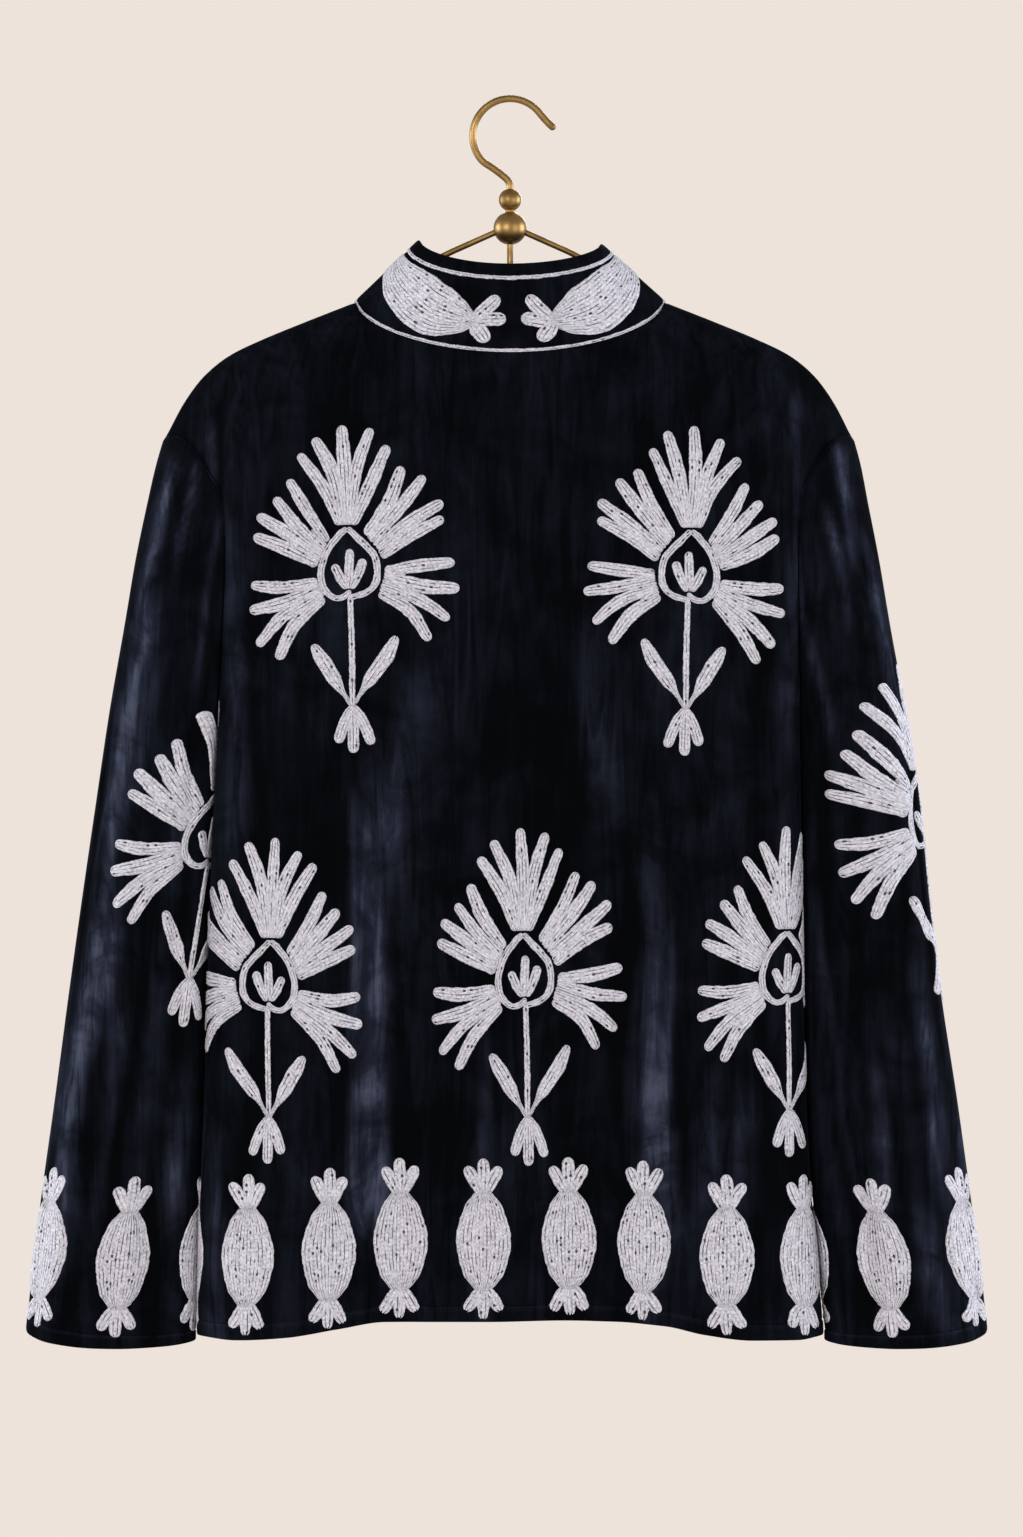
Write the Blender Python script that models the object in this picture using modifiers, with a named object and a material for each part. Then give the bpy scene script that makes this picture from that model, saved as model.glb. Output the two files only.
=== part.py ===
"""Open-fronted jacket with a stand collar, hanging on a brass wire hanger.

The world origin is the inside top of the hanger's hook, where a rail carries it.
+X runs to the right as seen from behind the jacket, +Z is up, and the back of the
jacket faces -Y. Every cloth piece is a thin wall lofted between its own sections.
"""
import math

import bpy
import numpy as np

MM = 0.001

# Cloth
CLOTH = 2.0 * MM            # thickness of the velvet wall
COLLAR_CLOTH = 2.6 * MM     # two layers of velvet
SEAM_GAP = 0.4 * MM         # left open between two pieces that are sewn together

# Heights below the hook seat
NECK_SIDE_DROP = 145.0 * MM     # neck point, where collar and shoulder meet
NECK_BACK_DROP = 182.0 * MM     # collar seam at centre back
NECK_FRONT_DROP = 214.0 * MM    # collar seam at centre front
SHOULDER_DROP = 240.0 * MM      # shoulder tip, top of the armhole
UNDERARM_DROP = 440.0 * MM
HEM_DROP = 891.0 * MM           # hem at the side seams

# Widths from the centre line
NECK_HALF = 112.0 * MM
SHOULDER_HALF = 248.0 * MM

# Depths of the hollow jacket, from the hanger's plane
BACK_DEPTH = 33.0 * MM
FRONT_DEPTH = 33.0 * MM
NECK_BACK_DEPTH = 40.0 * MM
NECK_FRONT_DEPTH = 46.0 * MM
NECK_BACK_CURVE = 1.2           # how slowly the neckline falls from the neck points
NECK_FRONT_CURVE = 2.2
SIDE_ROUND = 4.0                # squareness of the body's section
SHOULDER_ROUND = 85.0 * MM      # height over which the shoulder opens to its full depth
NARROWING = 2.2                 # keeps the armhole's narrowing away from the neck
NARROWING_ENDS = 0.5            # share of the length over which that fades
ARMHOLE_FLARE = 29.0 * MM       # armhole's depth at which its rim faces straight back
SHOULDER_TILT = 27.0            # degrees that the rim leans up at the shoulder tip
SHOULDER_TILT_FADE = 60.0 * MM  # height over which that lean fades

# Collar's upper edge
COLLAR_TOP_HALF = 65.0 * MM
COLLAR_SIDE_DROP = 104.0 * MM
COLLAR_BACK_DROP = 118.0 * MM
COLLAR_FRONT_DROP = 160.0 * MM
COLLAR_BACK_DEPTH = 38.0 * MM
COLLAR_FRONT_DEPTH = 43.0 * MM

# Hanger
HOOK_WIRE_R = 2.6 * MM
BAR_R = 2.2 * MM
HOOK_LOOP_R = 27.0 * MM
HOOK_FOOT = -62.0 * MM
SEAT_GAP = 0.3 * MM             # left open where one piece rests on another
BAR_SLOPE_EASE = 1.36           # lowers the sloping bar clear of the cloth folded over it
SMALL_BALL_R = 8.2 * MM
SMALL_BALL_DROP = 70.5 * MM
LARGE_BALL_R = 12.0 * MM
LARGE_BALL_DROP = 91.0 * MM
BALL_NECK_R = 3.2 * MM          # neck between the two balls
BALL_NECK_RISE = 0.5 * MM
BAR_END_HALF = 196.0 * MM
BAR_BEND_R = 7.0 * MM
BAR_TAIL = 8.0 * MM             # straight run from the bend to the crossbar

# Hook wire in the hanger's plane, mm: its tip, and its bend from the loop to the stem.
HOOK_TIP = ((32.4, -19.6), (27.0, -14.4))
HOOK_NECK = ((-12.6, -47.6), (-5.4, -53.0), (-1.6, -56.6), (-0.2, -59.4), (0.0, -60.6))
HOOK_LOOP_TURNS = (37.0, 220.0)     # degrees from +X where the round loop starts and stops

# Shoulder bar from the large ball to the shoulder seam, mm: distance out, drop.
BAR_SPOTS = ((12.3, 94.7), (30.0, 102.6), (47.0, 110.4), (62.0, 119.0), (78.0, 129.6),
             (95.0, 141.5), (112.0, 152.0), (132.0, 160.0))
BAR_UNDER_SEAM = (153.0, 180.0)     # distances out where the bar lies just under the seam

# Mesh density
ARMHOLE_ROWS = 12
SIDE_ROWS = 15
SHOULDER_COLUMNS = 9
SHOULDER_CROWDING = 1.4     # above 1, columns stand closer together near the shoulder tip
SLEEVE_ROWS = 18
COLLAR_COLUMNS = 32         # half of them lie on the back's neckline
COLLAR_ROWS = 4
SHARP_EDGE = 50.0           # degrees above which an edge is shaded sharp

# Outline seen from behind, mm: drop below the seat, body edge at left and right,
# and the sleeve's outer edge at left and right.
OUTLINE = np.array([
    # drop, body_l, body_r, sleeve_l, sleeve_r
    (240, 248, 246, 248, 246),
    (262, 222, 222, 258, 254),
    (290, 206, 208, 266, 261),
    (330, 205, 207, 274, 268),
    (380, 206, 207, 281, 276),
    (440, 209, 208, 291, 286),
    (504, 213, 209, 299, 295),
    (576, 216, 210, 310, 302),
    (648, 218, 211, 320, 311),
    (720, 220, 213, 330, 322),
    (792, 223, 217, 340, 332),
    (850, 224, 222, 346, 340),
    (891, 225, 225, 349, 344),
], dtype=float) * MM

# Shoulder seam seen from behind, mm: distance from the centre, drop.
SHOULDER_LINE = np.array([
    (112, 145), (153, 161), (180, 172), (203, 183), (221, 197), (236, 217), (248, 240),
], dtype=float) * MM

# Armhole seam, mm: drop, distance from the centre at left and right, depth behind
# and before the hanger's plane.
ARMHOLE = np.array([
    # drop, edge_l, edge_r, depth
    (240, 248, 246, 0),
    (243, 238, 237, 9),
    (252, 228, 228, 16),
    (266, 218, 219, 21),
    (285, 208, 210, 26),
    (310, 205, 207, 28),
    (340, 205, 207, 27),
    (370, 206, 207, 24),
    (398, 207, 207, 19),
    (420, 208, 208, 12),
    (434, 209, 208, 6),
    (440, 209, 208, 0),
], dtype=float) * MM

# Hem seen from behind: place across the body (-1 to 1) and drop in mm.
HEM_LINE = np.array([
    # across, drop
    (-1.00, 890), (-0.88, 893), (-0.72, 891), (-0.55, 885), (-0.40, 880), (-0.10, 880),
    (0.15, 879), (0.35, 880), (0.50, 883), (0.62, 889), (0.78, 893), (0.92, 893), (1.00, 890),
])

# Long soft folds of the body: place across, half width across, how far the cloth
# stands out at the hem in mm, and the drop in mm where the fold begins.
BACK_FOLDS = (
    # across, half_width, stands_out, begins
    (-0.76, 0.17, 9.0, 430),
    (-0.24, 0.20, -8.0, 450),
    (0.02, 0.10, 1.5, 560),
    (0.24, 0.20, -8.0, 430),
    (0.78, 0.16, 9.0, 460),
)
FRONT_FOLDS = (
    # across, half_width, stands_out, begins
    (-0.66, 0.20, 8.0, 450),
    (-0.30, 0.14, -6.0, 470),
    (0.32, 0.15, -6.0, 450),
    (0.70, 0.18, 8.0, 470),
)

# Long soft folds of a sleeve: turn round it in degrees from its outer edge over the
# back, half width in degrees, how far the cloth stands out in mm, where along it
# the fold begins (0 to 1).
SLEEVE_FOLDS = (
    # turn, half_width, stands_out, begins
    (58.0, 22.0, 2.5, 0.15),
    (122.0, 20.0, -5.0, 0.08),
    (238.0, 22.0, -4.0, 0.12),
    (300.0, 24.0, 3.0, 0.20),
)

SLEEVE_DEPTH_TOP = 28.0 * MM
SLEEVE_DEPTH_CUFF = 25.0 * MM
SLEEVE_CLEAR = 3.2 * MM         # sleeve's inner edge to the body's side, middle to middle
BESIDE_FROM = 330.0 * MM        # drops between which the sleeve turns beside the body
BESIDE_BY = 410.0 * MM
CUFF_OUTER_DROP = 887.0 * MM
CUFF_INNER_DROP = 892.0 * MM
CUFF_SAG = 6.0 * MM
SLEEVE_LEAN = 0.72              # below 1, the sleeve is flatter towards its inner edge
SLEEVE_SWING = -0.70            # the inner edge starts slowly while the sleeve swings down
SLEEVE_HEAD = 0.20              # share of the length over which the armhole's shape fades
SLEEVE_FULLNESS = 0.8           # below 1, the sleeve's section is squarer than an oval
SLEEVE_FOLD_GROWS = 0.4         # share of the length over which a fold grows


def smooth(x):
    """Ease from 0 to 1 with flat ends."""
    x = np.clip(x, 0.0, 1.0)
    return x * x * (3.0 - 2.0 * x)


def material(name, colour, roughness, metallic):
    """Principled material of one plain finish."""
    mat = bpy.data.materials.new(name)
    mat.use_nodes = True
    bsdf = mat.node_tree.nodes["Principled BSDF"]
    bsdf.inputs["Base Color"].default_value = (*colour, 1.0)
    bsdf.inputs["Roughness"].default_value = roughness
    bsdf.inputs["Metallic"].default_value = metallic
    return mat


def add_mesh(name, verts, faces, mat, collection):
    """Smooth mesh object from points and faces."""
    mesh = bpy.data.meshes.new(name)
    mesh.from_pydata([tuple(p) for p in verts], [], faces)
    mesh.materials.append(mat)
    mesh.shade_smooth()
    mesh.set_sharp_from_angle(angle=math.radians(SHARP_EDGE))
    obj = bpy.data.objects.new(name, mesh)
    collection.objects.link(obj)
    return obj


def grid_normals(points, closed):
    """Unit normals of a grid of points, from its row and column tangents."""
    if closed:
        along_columns = np.roll(points, -1, axis=1) - np.roll(points, 1, axis=1)
    else:
        along_columns = np.gradient(points, axis=1)
    along_rows = np.gradient(points, axis=0)
    normals = np.cross(along_columns, along_rows)
    return normals / np.linalg.norm(normals, axis=2, keepdims=True)


def flattened(normals, axis):
    """Unit normals with one direction taken out, so that a seam's rims stay parallel."""
    flat = normals.copy()
    flat[..., axis] = 0.0
    return flat / np.linalg.norm(flat, axis=-1, keepdims=True)


def wall(name, points, normals, thickness, closed, mat, collection):
    """Closed wall round a grid: an outer skin, an inner skin and the rims.

    Both skins split each cell along its shorter diagonal, so that they stay parallel.
    """
    rows, columns = points.shape[:2]
    half = thickness / 2.0
    skins = np.concatenate([(points + normals * half).reshape(-1, 3),
                            (points - normals * half).reshape(-1, 3)])
    count = rows * columns

    def at(skin, row, column):
        return skin * count + row * columns + column % columns

    def spread(corner, other):
        return np.linalg.norm(points[corner[0], corner[1] % columns] - points[other[0], other[1] % columns])

    faces = []
    spans = columns if closed else columns - 1
    for row in range(rows - 1):
        for column in range(spans):
            a, b, c, d = (row, column), (row, column + 1), (row + 1, column + 1), (row + 1, column)
            halves = ((a, b, c), (a, c, d)) if spread(a, c) < spread(b, d) else ((a, b, d), (b, c, d))
            for half_cell in halves:
                faces.append([at(0, *corner) for corner in half_cell])
                faces.append([at(1, *corner) for corner in reversed(half_cell)])
    for column in range(spans):
        faces.append([at(0, 0, column), at(1, 0, column), at(1, 0, column + 1), at(0, 0, column + 1)])
        last = rows - 1
        faces.append([at(0, last, column + 1), at(1, last, column + 1),
                      at(1, last, column), at(0, last, column)])
    if not closed:
        last = columns - 1
        for row in range(rows - 1):
            faces.append([at(0, row + 1, 0), at(1, row + 1, 0), at(1, row, 0), at(0, row, 0)])
            faces.append([at(0, row, last), at(1, row, last),
                          at(1, row + 1, last), at(0, row + 1, last)])
    return add_mesh(name, skins, faces, mat, collection)


def armhole_points(side):
    """Armhole seam from shoulder tip to underarm, evenly spaced along its length.

    side is -1 at left and 1 at right. Columns: drop, distance from centre, depth.
    """
    table = ARMHOLE[:, [0, 1 if side < 0 else 2, 3]]
    steps = np.linalg.norm(np.diff(table, axis=0), axis=1)
    length = np.concatenate([[0.0], np.cumsum(steps)])
    wanted = np.linspace(0.0, length[-1], ARMHOLE_ROWS + 1)
    return np.stack([np.interp(wanted, length, column) for column in table.T], axis=1)


def side_seam_points(side):
    """Side edge of the body, from the shoulder tip down the armhole and side seam."""
    upper = armhole_points(side)
    drops = np.linspace(UNDERARM_DROP, HEM_DROP, SIDE_ROWS + 1)[1:]
    edge = np.interp(drops, OUTLINE[:, 0], OUTLINE[:, 1 if side < 0 else 2])
    lower = np.stack([drops, edge, np.zeros_like(drops)], axis=1)
    return np.concatenate([upper, lower])


def neck_turn(distance):
    """Cosine of the turn round the neck, from the distance to the centre line."""
    return np.sqrt(np.clip(1.0 - (distance / NECK_HALF) ** 2, 0.0, 1.0))


def top_edge(x, centre_drop, centre_depth, curve):
    """Drop and depth of the panel's upper edge: neckline, then shoulder seam."""
    distance = np.abs(x)
    turn = neck_turn(distance)
    neck = NECK_SIDE_DROP + (centre_drop - NECK_SIDE_DROP) * turn ** curve
    shoulder = np.interp(distance, SHOULDER_LINE[:, 0], SHOULDER_LINE[:, 1])
    drop = np.where(distance < NECK_HALF, neck, shoulder)
    return drop, centre_depth * turn


def panel_columns(first, last):
    """Places across the panel, -1 to 1: fine near the neck points and shoulder tips."""
    turns = np.linspace(-math.pi / 2.0, math.pi / 2.0, COLLAR_COLUMNS // 2 + 1)
    neck = np.sin(turns) * NECK_HALF / SHOULDER_HALF
    reach = np.linspace(0.0, 1.0, SHOULDER_COLUMNS + 1)[1:]
    outer = neck[-1] + (1.0 - neck[-1]) * (1.0 - (1.0 - reach) ** SHOULDER_CROWDING)
    columns = np.concatenate([-outer[::-1], neck, outer])
    return columns[(columns > first - 1e-6) & (columns < last + 1e-6)]


def panel_grid(facing, columns, neckline, depth, folds):
    """Middle surface of a back (facing -1) or front (facing 1) panel.

    neckline holds its drop and depth at the centre and how slowly it falls there.
    """
    left = side_seam_points(-1)
    right = side_seam_points(1)
    down = (left[:, 0] - SHOULDER_DROP) / (HEM_DROP - SHOULDER_DROP)
    across = columns[None, :]
    share = (across + 1.0) / 2.0

    top_drop, top_depth = top_edge(columns * SHOULDER_HALF, *neckline)
    hem_drop = np.interp(columns, HEM_LINE[:, 0], HEM_LINE[:, 1] * MM)
    drop = top_drop + (hem_drop - top_drop) * down[:, None]
    half = left[:, 1][:, None] * (1.0 - share) + right[:, 1][:, None] * share
    bias = 1.0 + NARROWING * (1.0 - smooth(down / NARROWING_ENDS))[:, None]
    x = across * SHOULDER_HALF - np.sign(across) * (SHOULDER_HALF - half) * np.abs(across) ** bias

    edge_depth = left[:, 2][:, None] * (1.0 - share) + right[:, 2][:, None] * share
    swell = (1.0 - np.abs(across) ** SIDE_ROUND) ** (1.0 / SIDE_ROUND)
    full = edge_depth + (depth - edge_depth) * swell
    for place, width, stands_out, begins in folds:
        bump = np.exp(-((across - place) / width) ** 2) * swell
        grows = smooth((drop - begins * MM) / (HEM_DROP - begins * MM))
        full = full + stands_out * MM * bump * grows

    below_top = (drop - top_drop) / SHOULDER_ROUND
    closing = np.sqrt(1.0 - (1.0 - np.clip(below_top, 0.0, 1.0)) ** 2)
    y = top_depth + (full - top_depth) * closing
    if columns[0] < -0.99:
        y[:, 0] = left[:, 2]
    if columns[-1] > 0.99:
        y[:, -1] = right[:, 2]
    return np.stack([x, facing * y, -drop], axis=2)


def neck_ring():
    """Collar seam round the neck: points, wall normals and directions up the cloth."""
    grid = collar_grid()
    points = grid[0]
    normals = grid_normals(grid, False)[0]
    along = np.gradient(points, axis=0)
    up = np.cross(normals, along)
    return points, normals, up / np.linalg.norm(up, axis=1, keepdims=True)


def neck_share(facing, columns):
    """Which points of the neck ring belong to a panel's neckline, left to right."""
    quarter = COLLAR_COLUMNS // 4
    if facing < 0:
        return np.arange(quarter, 3 * quarter + 1)
    if columns[0] < -0.5:
        return np.arange(quarter, -1, -1)
    return np.arange(4 * quarter, 3 * quarter - 1, -1)


def armhole_normals(ring, side, facing):
    """Wall normals along the armhole seam, shared by the body and the sleeve."""
    y = np.clip(ring[:, 2] / ARMHOLE_FLARE, 0.0, 1.0)
    tilt = np.radians(SHOULDER_TILT) * (1.0 - smooth((ring[:, 0] - SHOULDER_DROP) / SHOULDER_TILT_FADE))
    flat = np.sqrt(1.0 - y * y)
    return np.stack([side * flat * np.cos(tilt), facing * y, flat * np.sin(tilt)], axis=1)


def panel(name, facing, columns, grid, mat, collection):
    """Back or front panel as a wall, with rims that stand square to its seams."""
    half_gap = SEAM_GAP / 2.0
    if facing < 0:
        grid = grid[:, ::-1]
        columns = columns[::-1]
    normals = grid_normals(grid, False)

    shoulder = np.abs(columns) * SHOULDER_HALF > NECK_HALF - 1e-6
    normals[0, shoulder] = flattened(normals[0, shoulder], 1)
    points, across_wall, up = neck_ring()
    share = neck_share(facing, columns)
    share = share[::-1] if facing < 0 else share
    neck = np.abs(columns) * SHOULDER_HALF < NECK_HALF + 1e-6
    grid[0, neck] = points[share] - up[share] * half_gap
    normals[0, neck] = across_wall[share]
    grid[0, shoulder, 1] = facing * half_gap

    for column in (0, -1):
        if abs(columns[column]) > 0.99:
            side = math.copysign(1.0, columns[column])
            hole = armhole_points(side)
            normals[:ARMHOLE_ROWS + 1, column] = armhole_normals(hole, side, facing)
            normals[ARMHOLE_ROWS:, column] = flattened(normals[ARMHOLE_ROWS:, column], 1)
            grid[ARMHOLE_ROWS:, column, 1] = facing * half_gap
        else:
            normals[:, column] = flattened(normals[:, column], 0)
            inward = math.copysign(half_gap, columns[0] + columns[-1])
            grid[:, column, 0] = inward
    return wall(name, grid, normals, CLOTH, False, mat, collection)


def sleeve_grid(side):
    """Middle surface of a sleeve: the armhole ring eased into flat oval sections."""
    hole = armhole_points(side)
    columns = 2 * ARMHOLE_ROWS
    turn = np.linspace(0.0, 2.0 * math.pi, columns, endpoint=False)
    along = np.linspace(0.0, 1.0, SLEEVE_ROWS + 1)

    swing = along + SLEEVE_SWING * along * (1.0 - along) ** 4
    outer_drop = SHOULDER_DROP + (CUFF_OUTER_DROP - SHOULDER_DROP) * along
    inner_drop = UNDERARM_DROP + (CUFF_INNER_DROP - UNDERARM_DROP) * swing
    outer = np.interp(outer_drop, OUTLINE[:, 0], OUTLINE[:, 3 if side < 0 else 4])
    inner = np.interp(inner_drop, OUTLINE[:, 0], OUTLINE[:, 1 if side < 0 else 2]) + SLEEVE_CLEAR
    half_depth = SLEEVE_DEPTH_TOP + (SLEEVE_DEPTH_CUFF - SLEEVE_DEPTH_TOP) * along

    lean = ((1.0 + np.cos(turn)) / 2.0) ** SLEEVE_LEAN
    reach = inner[:, None] + (outer - inner)[:, None] * lean
    drop = inner_drop[:, None] + (outer_drop - inner_drop)[:, None] * lean
    bulge = np.sign(np.sin(turn)) * np.abs(np.sin(turn)) ** SLEEVE_FULLNESS
    depth = half_depth[:, None] * bulge
    drop = drop + CUFF_SAG * np.abs(np.sin(turn)) * along[:, None] ** 2
    for at, width, stands_out, begins in SLEEVE_FOLDS:
        bump = np.exp(-((np.degrees(turn) - at) / width) ** 2)
        grows = smooth((along - begins) / SLEEVE_FOLD_GROWS)
        depth = depth + stands_out * MM * bump * np.sign(np.sin(turn)) * grows[:, None]

    round_hole = np.concatenate([hole, hole[-2:0:-1]])
    facing = np.where(turn <= math.pi + 1e-6, -1.0, 1.0)
    seam_normals = armhole_normals(round_hole, side, facing)
    ring = np.stack([side * round_hole[:, 1], facing * round_hole[:, 2], -round_hole[:, 0]], axis=1)
    ring = ring + armhole_step(ring, seam_normals, side)

    grid = np.stack([side * reach, -depth, -drop], axis=2)
    fade = 1.0 - smooth(along / SLEEVE_HEAD)
    grid = grid + fade[:, None, None] * (ring - grid[0])
    if side < 0:
        grid = grid[:, ::-1]
        seam_normals = seam_normals[::-1]
    return grid, seam_normals


def armhole_step(ring, normals, side):
    """Step from the body's armhole edge to the sleeve's: end to end, then side by side."""
    along = np.roll(ring, -1, axis=0) - np.roll(ring, 1, axis=0)
    outward = np.cross(normals, along) * side
    outward /= np.linalg.norm(outward, axis=1, keepdims=True)
    blend = beside(ring)
    return SEAM_GAP * outward * (1.0 - blend) + np.array([side * SLEEVE_CLEAR, 0.0, 0.0]) * blend


def beside(ring):
    """How far the sleeve lies beside the body's edge (1) and not end to end with it (0)."""
    return smooth((-ring[:, 2] - BESIDE_FROM) / (BESIDE_BY - BESIDE_FROM))[:, None]


def sleeve(name, side, mat, collection):
    """Sleeve as a wall, open at the armhole and at the cuff."""
    grid, seam_normals = sleeve_grid(side)
    normals = grid_normals(grid, True)
    blend = beside(grid[0])
    first = seam_normals * (1.0 - blend) + normals[0] * blend
    normals[0] = first / np.linalg.norm(first, axis=1, keepdims=True)
    return wall(name, grid, normals, CLOTH, True, mat, collection)


def collar_grid():
    """Middle surface of the stand collar, from centre front round the back."""
    turn = np.linspace(-math.pi, math.pi, COLLAR_COLUMNS + 1)
    behind = np.abs(turn) <= math.pi / 2.0
    face = np.abs(np.cos(turn))
    rise = np.linspace(0.0, 1.0, COLLAR_ROWS + 1)[:, None]

    falls = face ** np.where(behind, NECK_BACK_CURVE, NECK_FRONT_CURVE)
    low_drop = NECK_SIDE_DROP + falls * np.where(
        behind, NECK_BACK_DROP - NECK_SIDE_DROP, NECK_FRONT_DROP - NECK_SIDE_DROP)
    top_drop = COLLAR_SIDE_DROP + falls * np.where(
        behind, COLLAR_BACK_DROP - COLLAR_SIDE_DROP, COLLAR_FRONT_DROP - COLLAR_SIDE_DROP)
    low_depth = -np.cos(turn) * np.where(behind, NECK_BACK_DEPTH, NECK_FRONT_DEPTH)
    top_depth = -np.cos(turn) * np.where(behind, COLLAR_BACK_DEPTH, COLLAR_FRONT_DEPTH)

    x = np.sin(turn) * (NECK_HALF + (COLLAR_TOP_HALF - NECK_HALF) * rise)
    y = low_depth + (top_depth - low_depth) * rise
    drop = low_drop + (top_drop - low_drop) * rise
    return np.stack([x, y, -drop], axis=2)


def collar(name, mat, collection):
    """Stand collar as a wall, open at centre front."""
    grid = collar_grid()
    normals = grid_normals(grid, False)
    grid[0] += neck_ring()[2] * SEAM_GAP / 2.0
    for column, away in ((0, -1.0), (-1, 1.0)):
        normals[:, column] = flattened(normals[:, column], 0)
        grid[:, column, 0] = away * SEAM_GAP / 2.0
    return wall(name, grid, normals, COLLAR_CLOTH, False, mat, collection)


def wire(name, points, radius, mat, collection):
    """Round wire along points, with filled ends."""
    curve = bpy.data.curves.new(name, "CURVE")
    curve.dimensions = "3D"
    curve.bevel_depth = radius
    curve.bevel_resolution = 2
    curve.use_fill_caps = True
    spline = curve.splines.new("POLY")
    spline.points.add(len(points) - 1)
    for spot, point in zip(spline.points, points):
        spot.co = (*point, 1.0)
    curve.materials.append(mat)
    obj = bpy.data.objects.new(name, curve)
    collection.objects.link(obj)
    return obj


def arc(centre_x, centre_z, radius, start, stop, count):
    """Points of an arc in the hanger's plane, angles in degrees from +X."""
    angles = np.radians(np.linspace(start, stop, count))
    return [(centre_x + radius * math.cos(a), 0.0, centre_z + radius * math.sin(a)) for a in angles]


def hook_points():
    """Hook wire: straight tip, round loop over the seat, easy bend into the stem."""
    tip = [(x * MM, 0.0, z * MM) for x, z in HOOK_TIP]
    loop = arc(0.0, HOOK_WIRE_R - HOOK_LOOP_R, HOOK_LOOP_R, *HOOK_LOOP_TURNS, 22)
    neck = [(x * MM, 0.0, z * MM) for x, z in HOOK_NECK]
    return tip + loop + neck + [(0.0, 0.0, HOOK_FOOT)]


def shoulder_bar_points(side):
    """Sloping bar that carries a shoulder, bent round at its end to the crossbar."""
    line = [(x * MM, 0.0, -drop * MM) for x, drop in BAR_SPOTS]
    for x in BAR_UNDER_SEAM:
        line.append((x * MM, 0.0, bar_height(x * MM)))
    end_x, end_z = BAR_END_HALF, bar_height(BAR_END_HALF)
    slope = math.atan2(line[-1][2] - end_z, end_x - line[-1][0])
    centre_x = end_x - BAR_BEND_R * math.sin(slope)
    centre_z = end_z - BAR_BEND_R * math.cos(slope)
    line += arc(centre_x, centre_z, BAR_BEND_R, 90.0 - math.degrees(slope), -90.0, 9)
    line.append((centre_x - BAR_TAIL, 0.0, centre_z - BAR_BEND_R))
    return [(side * x, y, z) for x, y, z in line]


def bar_height(x):
    """Height of the bar's middle just under the shoulder seam."""
    drop = np.interp(x, SHOULDER_LINE[:, 0], SHOULDER_LINE[:, 1])
    return -drop - (CLOTH / 2.0 + SEAT_GAP + BAR_R) * BAR_SLOPE_EASE


def ball_stack(mat, collection):
    """Two balls turned in one piece, with a short neck between them."""
    profile = [(x, z) for x, _, z in arc(0.0, -SMALL_BALL_DROP, SMALL_BALL_R, 90.0, -66.0, 12)]
    profile[0] = (0.0, -SMALL_BALL_DROP + SMALL_BALL_R)
    profile[-1] = (BALL_NECK_R, -SMALL_BALL_DROP - SMALL_BALL_R + BALL_NECK_RISE)
    profile += [(x, z) for x, _, z in arc(0.0, -LARGE_BALL_DROP, LARGE_BALL_R, 74.0, -90.0, 14)]
    profile[-1] = (0.0, -LARGE_BALL_DROP - LARGE_BALL_R)
    mesh = bpy.data.meshes.new("hanger_balls")
    mesh.from_pydata([(r, 0.0, z) for r, z in profile], [(i, i + 1) for i in range(len(profile) - 1)], [])
    mesh.materials.append(mat)
    obj = bpy.data.objects.new("hanger_balls", mesh)
    collection.objects.link(obj)
    turned = obj.modifiers.new("turned", "SCREW")
    turned.steps = 20
    turned.render_steps = 20
    turned.use_merge_vertices = True
    turned.merge_threshold = 0.00005
    return obj


def build_cloth(velvet, collection):
    """Back, two fronts, two sleeves and the collar."""
    columns = panel_columns(-1.0, 1.0)
    neckline = (NECK_BACK_DROP, NECK_BACK_DEPTH, NECK_BACK_CURVE)
    back = panel_grid(-1, columns, neckline, BACK_DEPTH, BACK_FOLDS)
    panel("back", -1, columns, back, velvet, collection)
    neckline = (NECK_FRONT_DROP, NECK_FRONT_DEPTH, NECK_FRONT_CURVE)
    for name, first, last in (("front_left", -1.0, 0.0), ("front_right", 0.0, 1.0)):
        columns = panel_columns(first, last)
        front = panel_grid(1, columns, neckline, FRONT_DEPTH, FRONT_FOLDS)
        panel(name, 1, columns, front, velvet, collection)
    sleeve("sleeve_left", -1, velvet, collection)
    sleeve("sleeve_right", 1, velvet, collection)
    collar("collar", velvet, collection)


def build_hanger(brass, collection):
    """Hook, balls, two shoulder bars, post and crossbar."""
    wire("hanger_hook", hook_points(), HOOK_WIRE_R, brass, collection)
    ball_stack(brass, collection)
    for name, side in (("hanger_bar_left", -1), ("hanger_bar_right", 1)):
        wire(name, shoulder_bar_points(side), BAR_R, brass, collection)
    end_x, _, crossbar_z = shoulder_bar_points(1)[-1]
    end_x -= SEAT_GAP
    wire("hanger_crossbar", [(-end_x, 0.0, crossbar_z), (end_x, 0.0, crossbar_z)], BAR_R, brass, collection)
    post_top = -LARGE_BALL_DROP - LARGE_BALL_R - SEAT_GAP
    post_foot = crossbar_z + BAR_R + SEAT_GAP
    wire("hanger_post", [(0.0, 0.0, post_top), (0.0, 0.0, post_foot)], BAR_R, brass, collection)


def main():
    """Clear the scene and model the jacket on its hanger."""
    for obj in list(bpy.data.objects):
        bpy.data.objects.remove(obj, do_unlink=True)
    collection = bpy.data.collections.new("jacket_on_hanger")
    bpy.context.scene.collection.children.link(collection)
    velvet = material("midnight_velvet", (0.012, 0.016, 0.030), 0.75, 0.0)
    brass = material("aged_brass", (0.48, 0.31, 0.11), 0.34, 1.0)
    build_cloth(velvet, collection)
    build_hanger(brass, collection)


main()
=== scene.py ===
"""Velvet jacket with chain-stitch flowers, hanging on a brass wire hanger.

Lengths in the tables are millimetres and become metres when they are used. The
origin is the inside top of the hook, +X runs right as seen from behind the jacket,
+Z is up and the back faces -Y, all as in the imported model.
"""
import math

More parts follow.
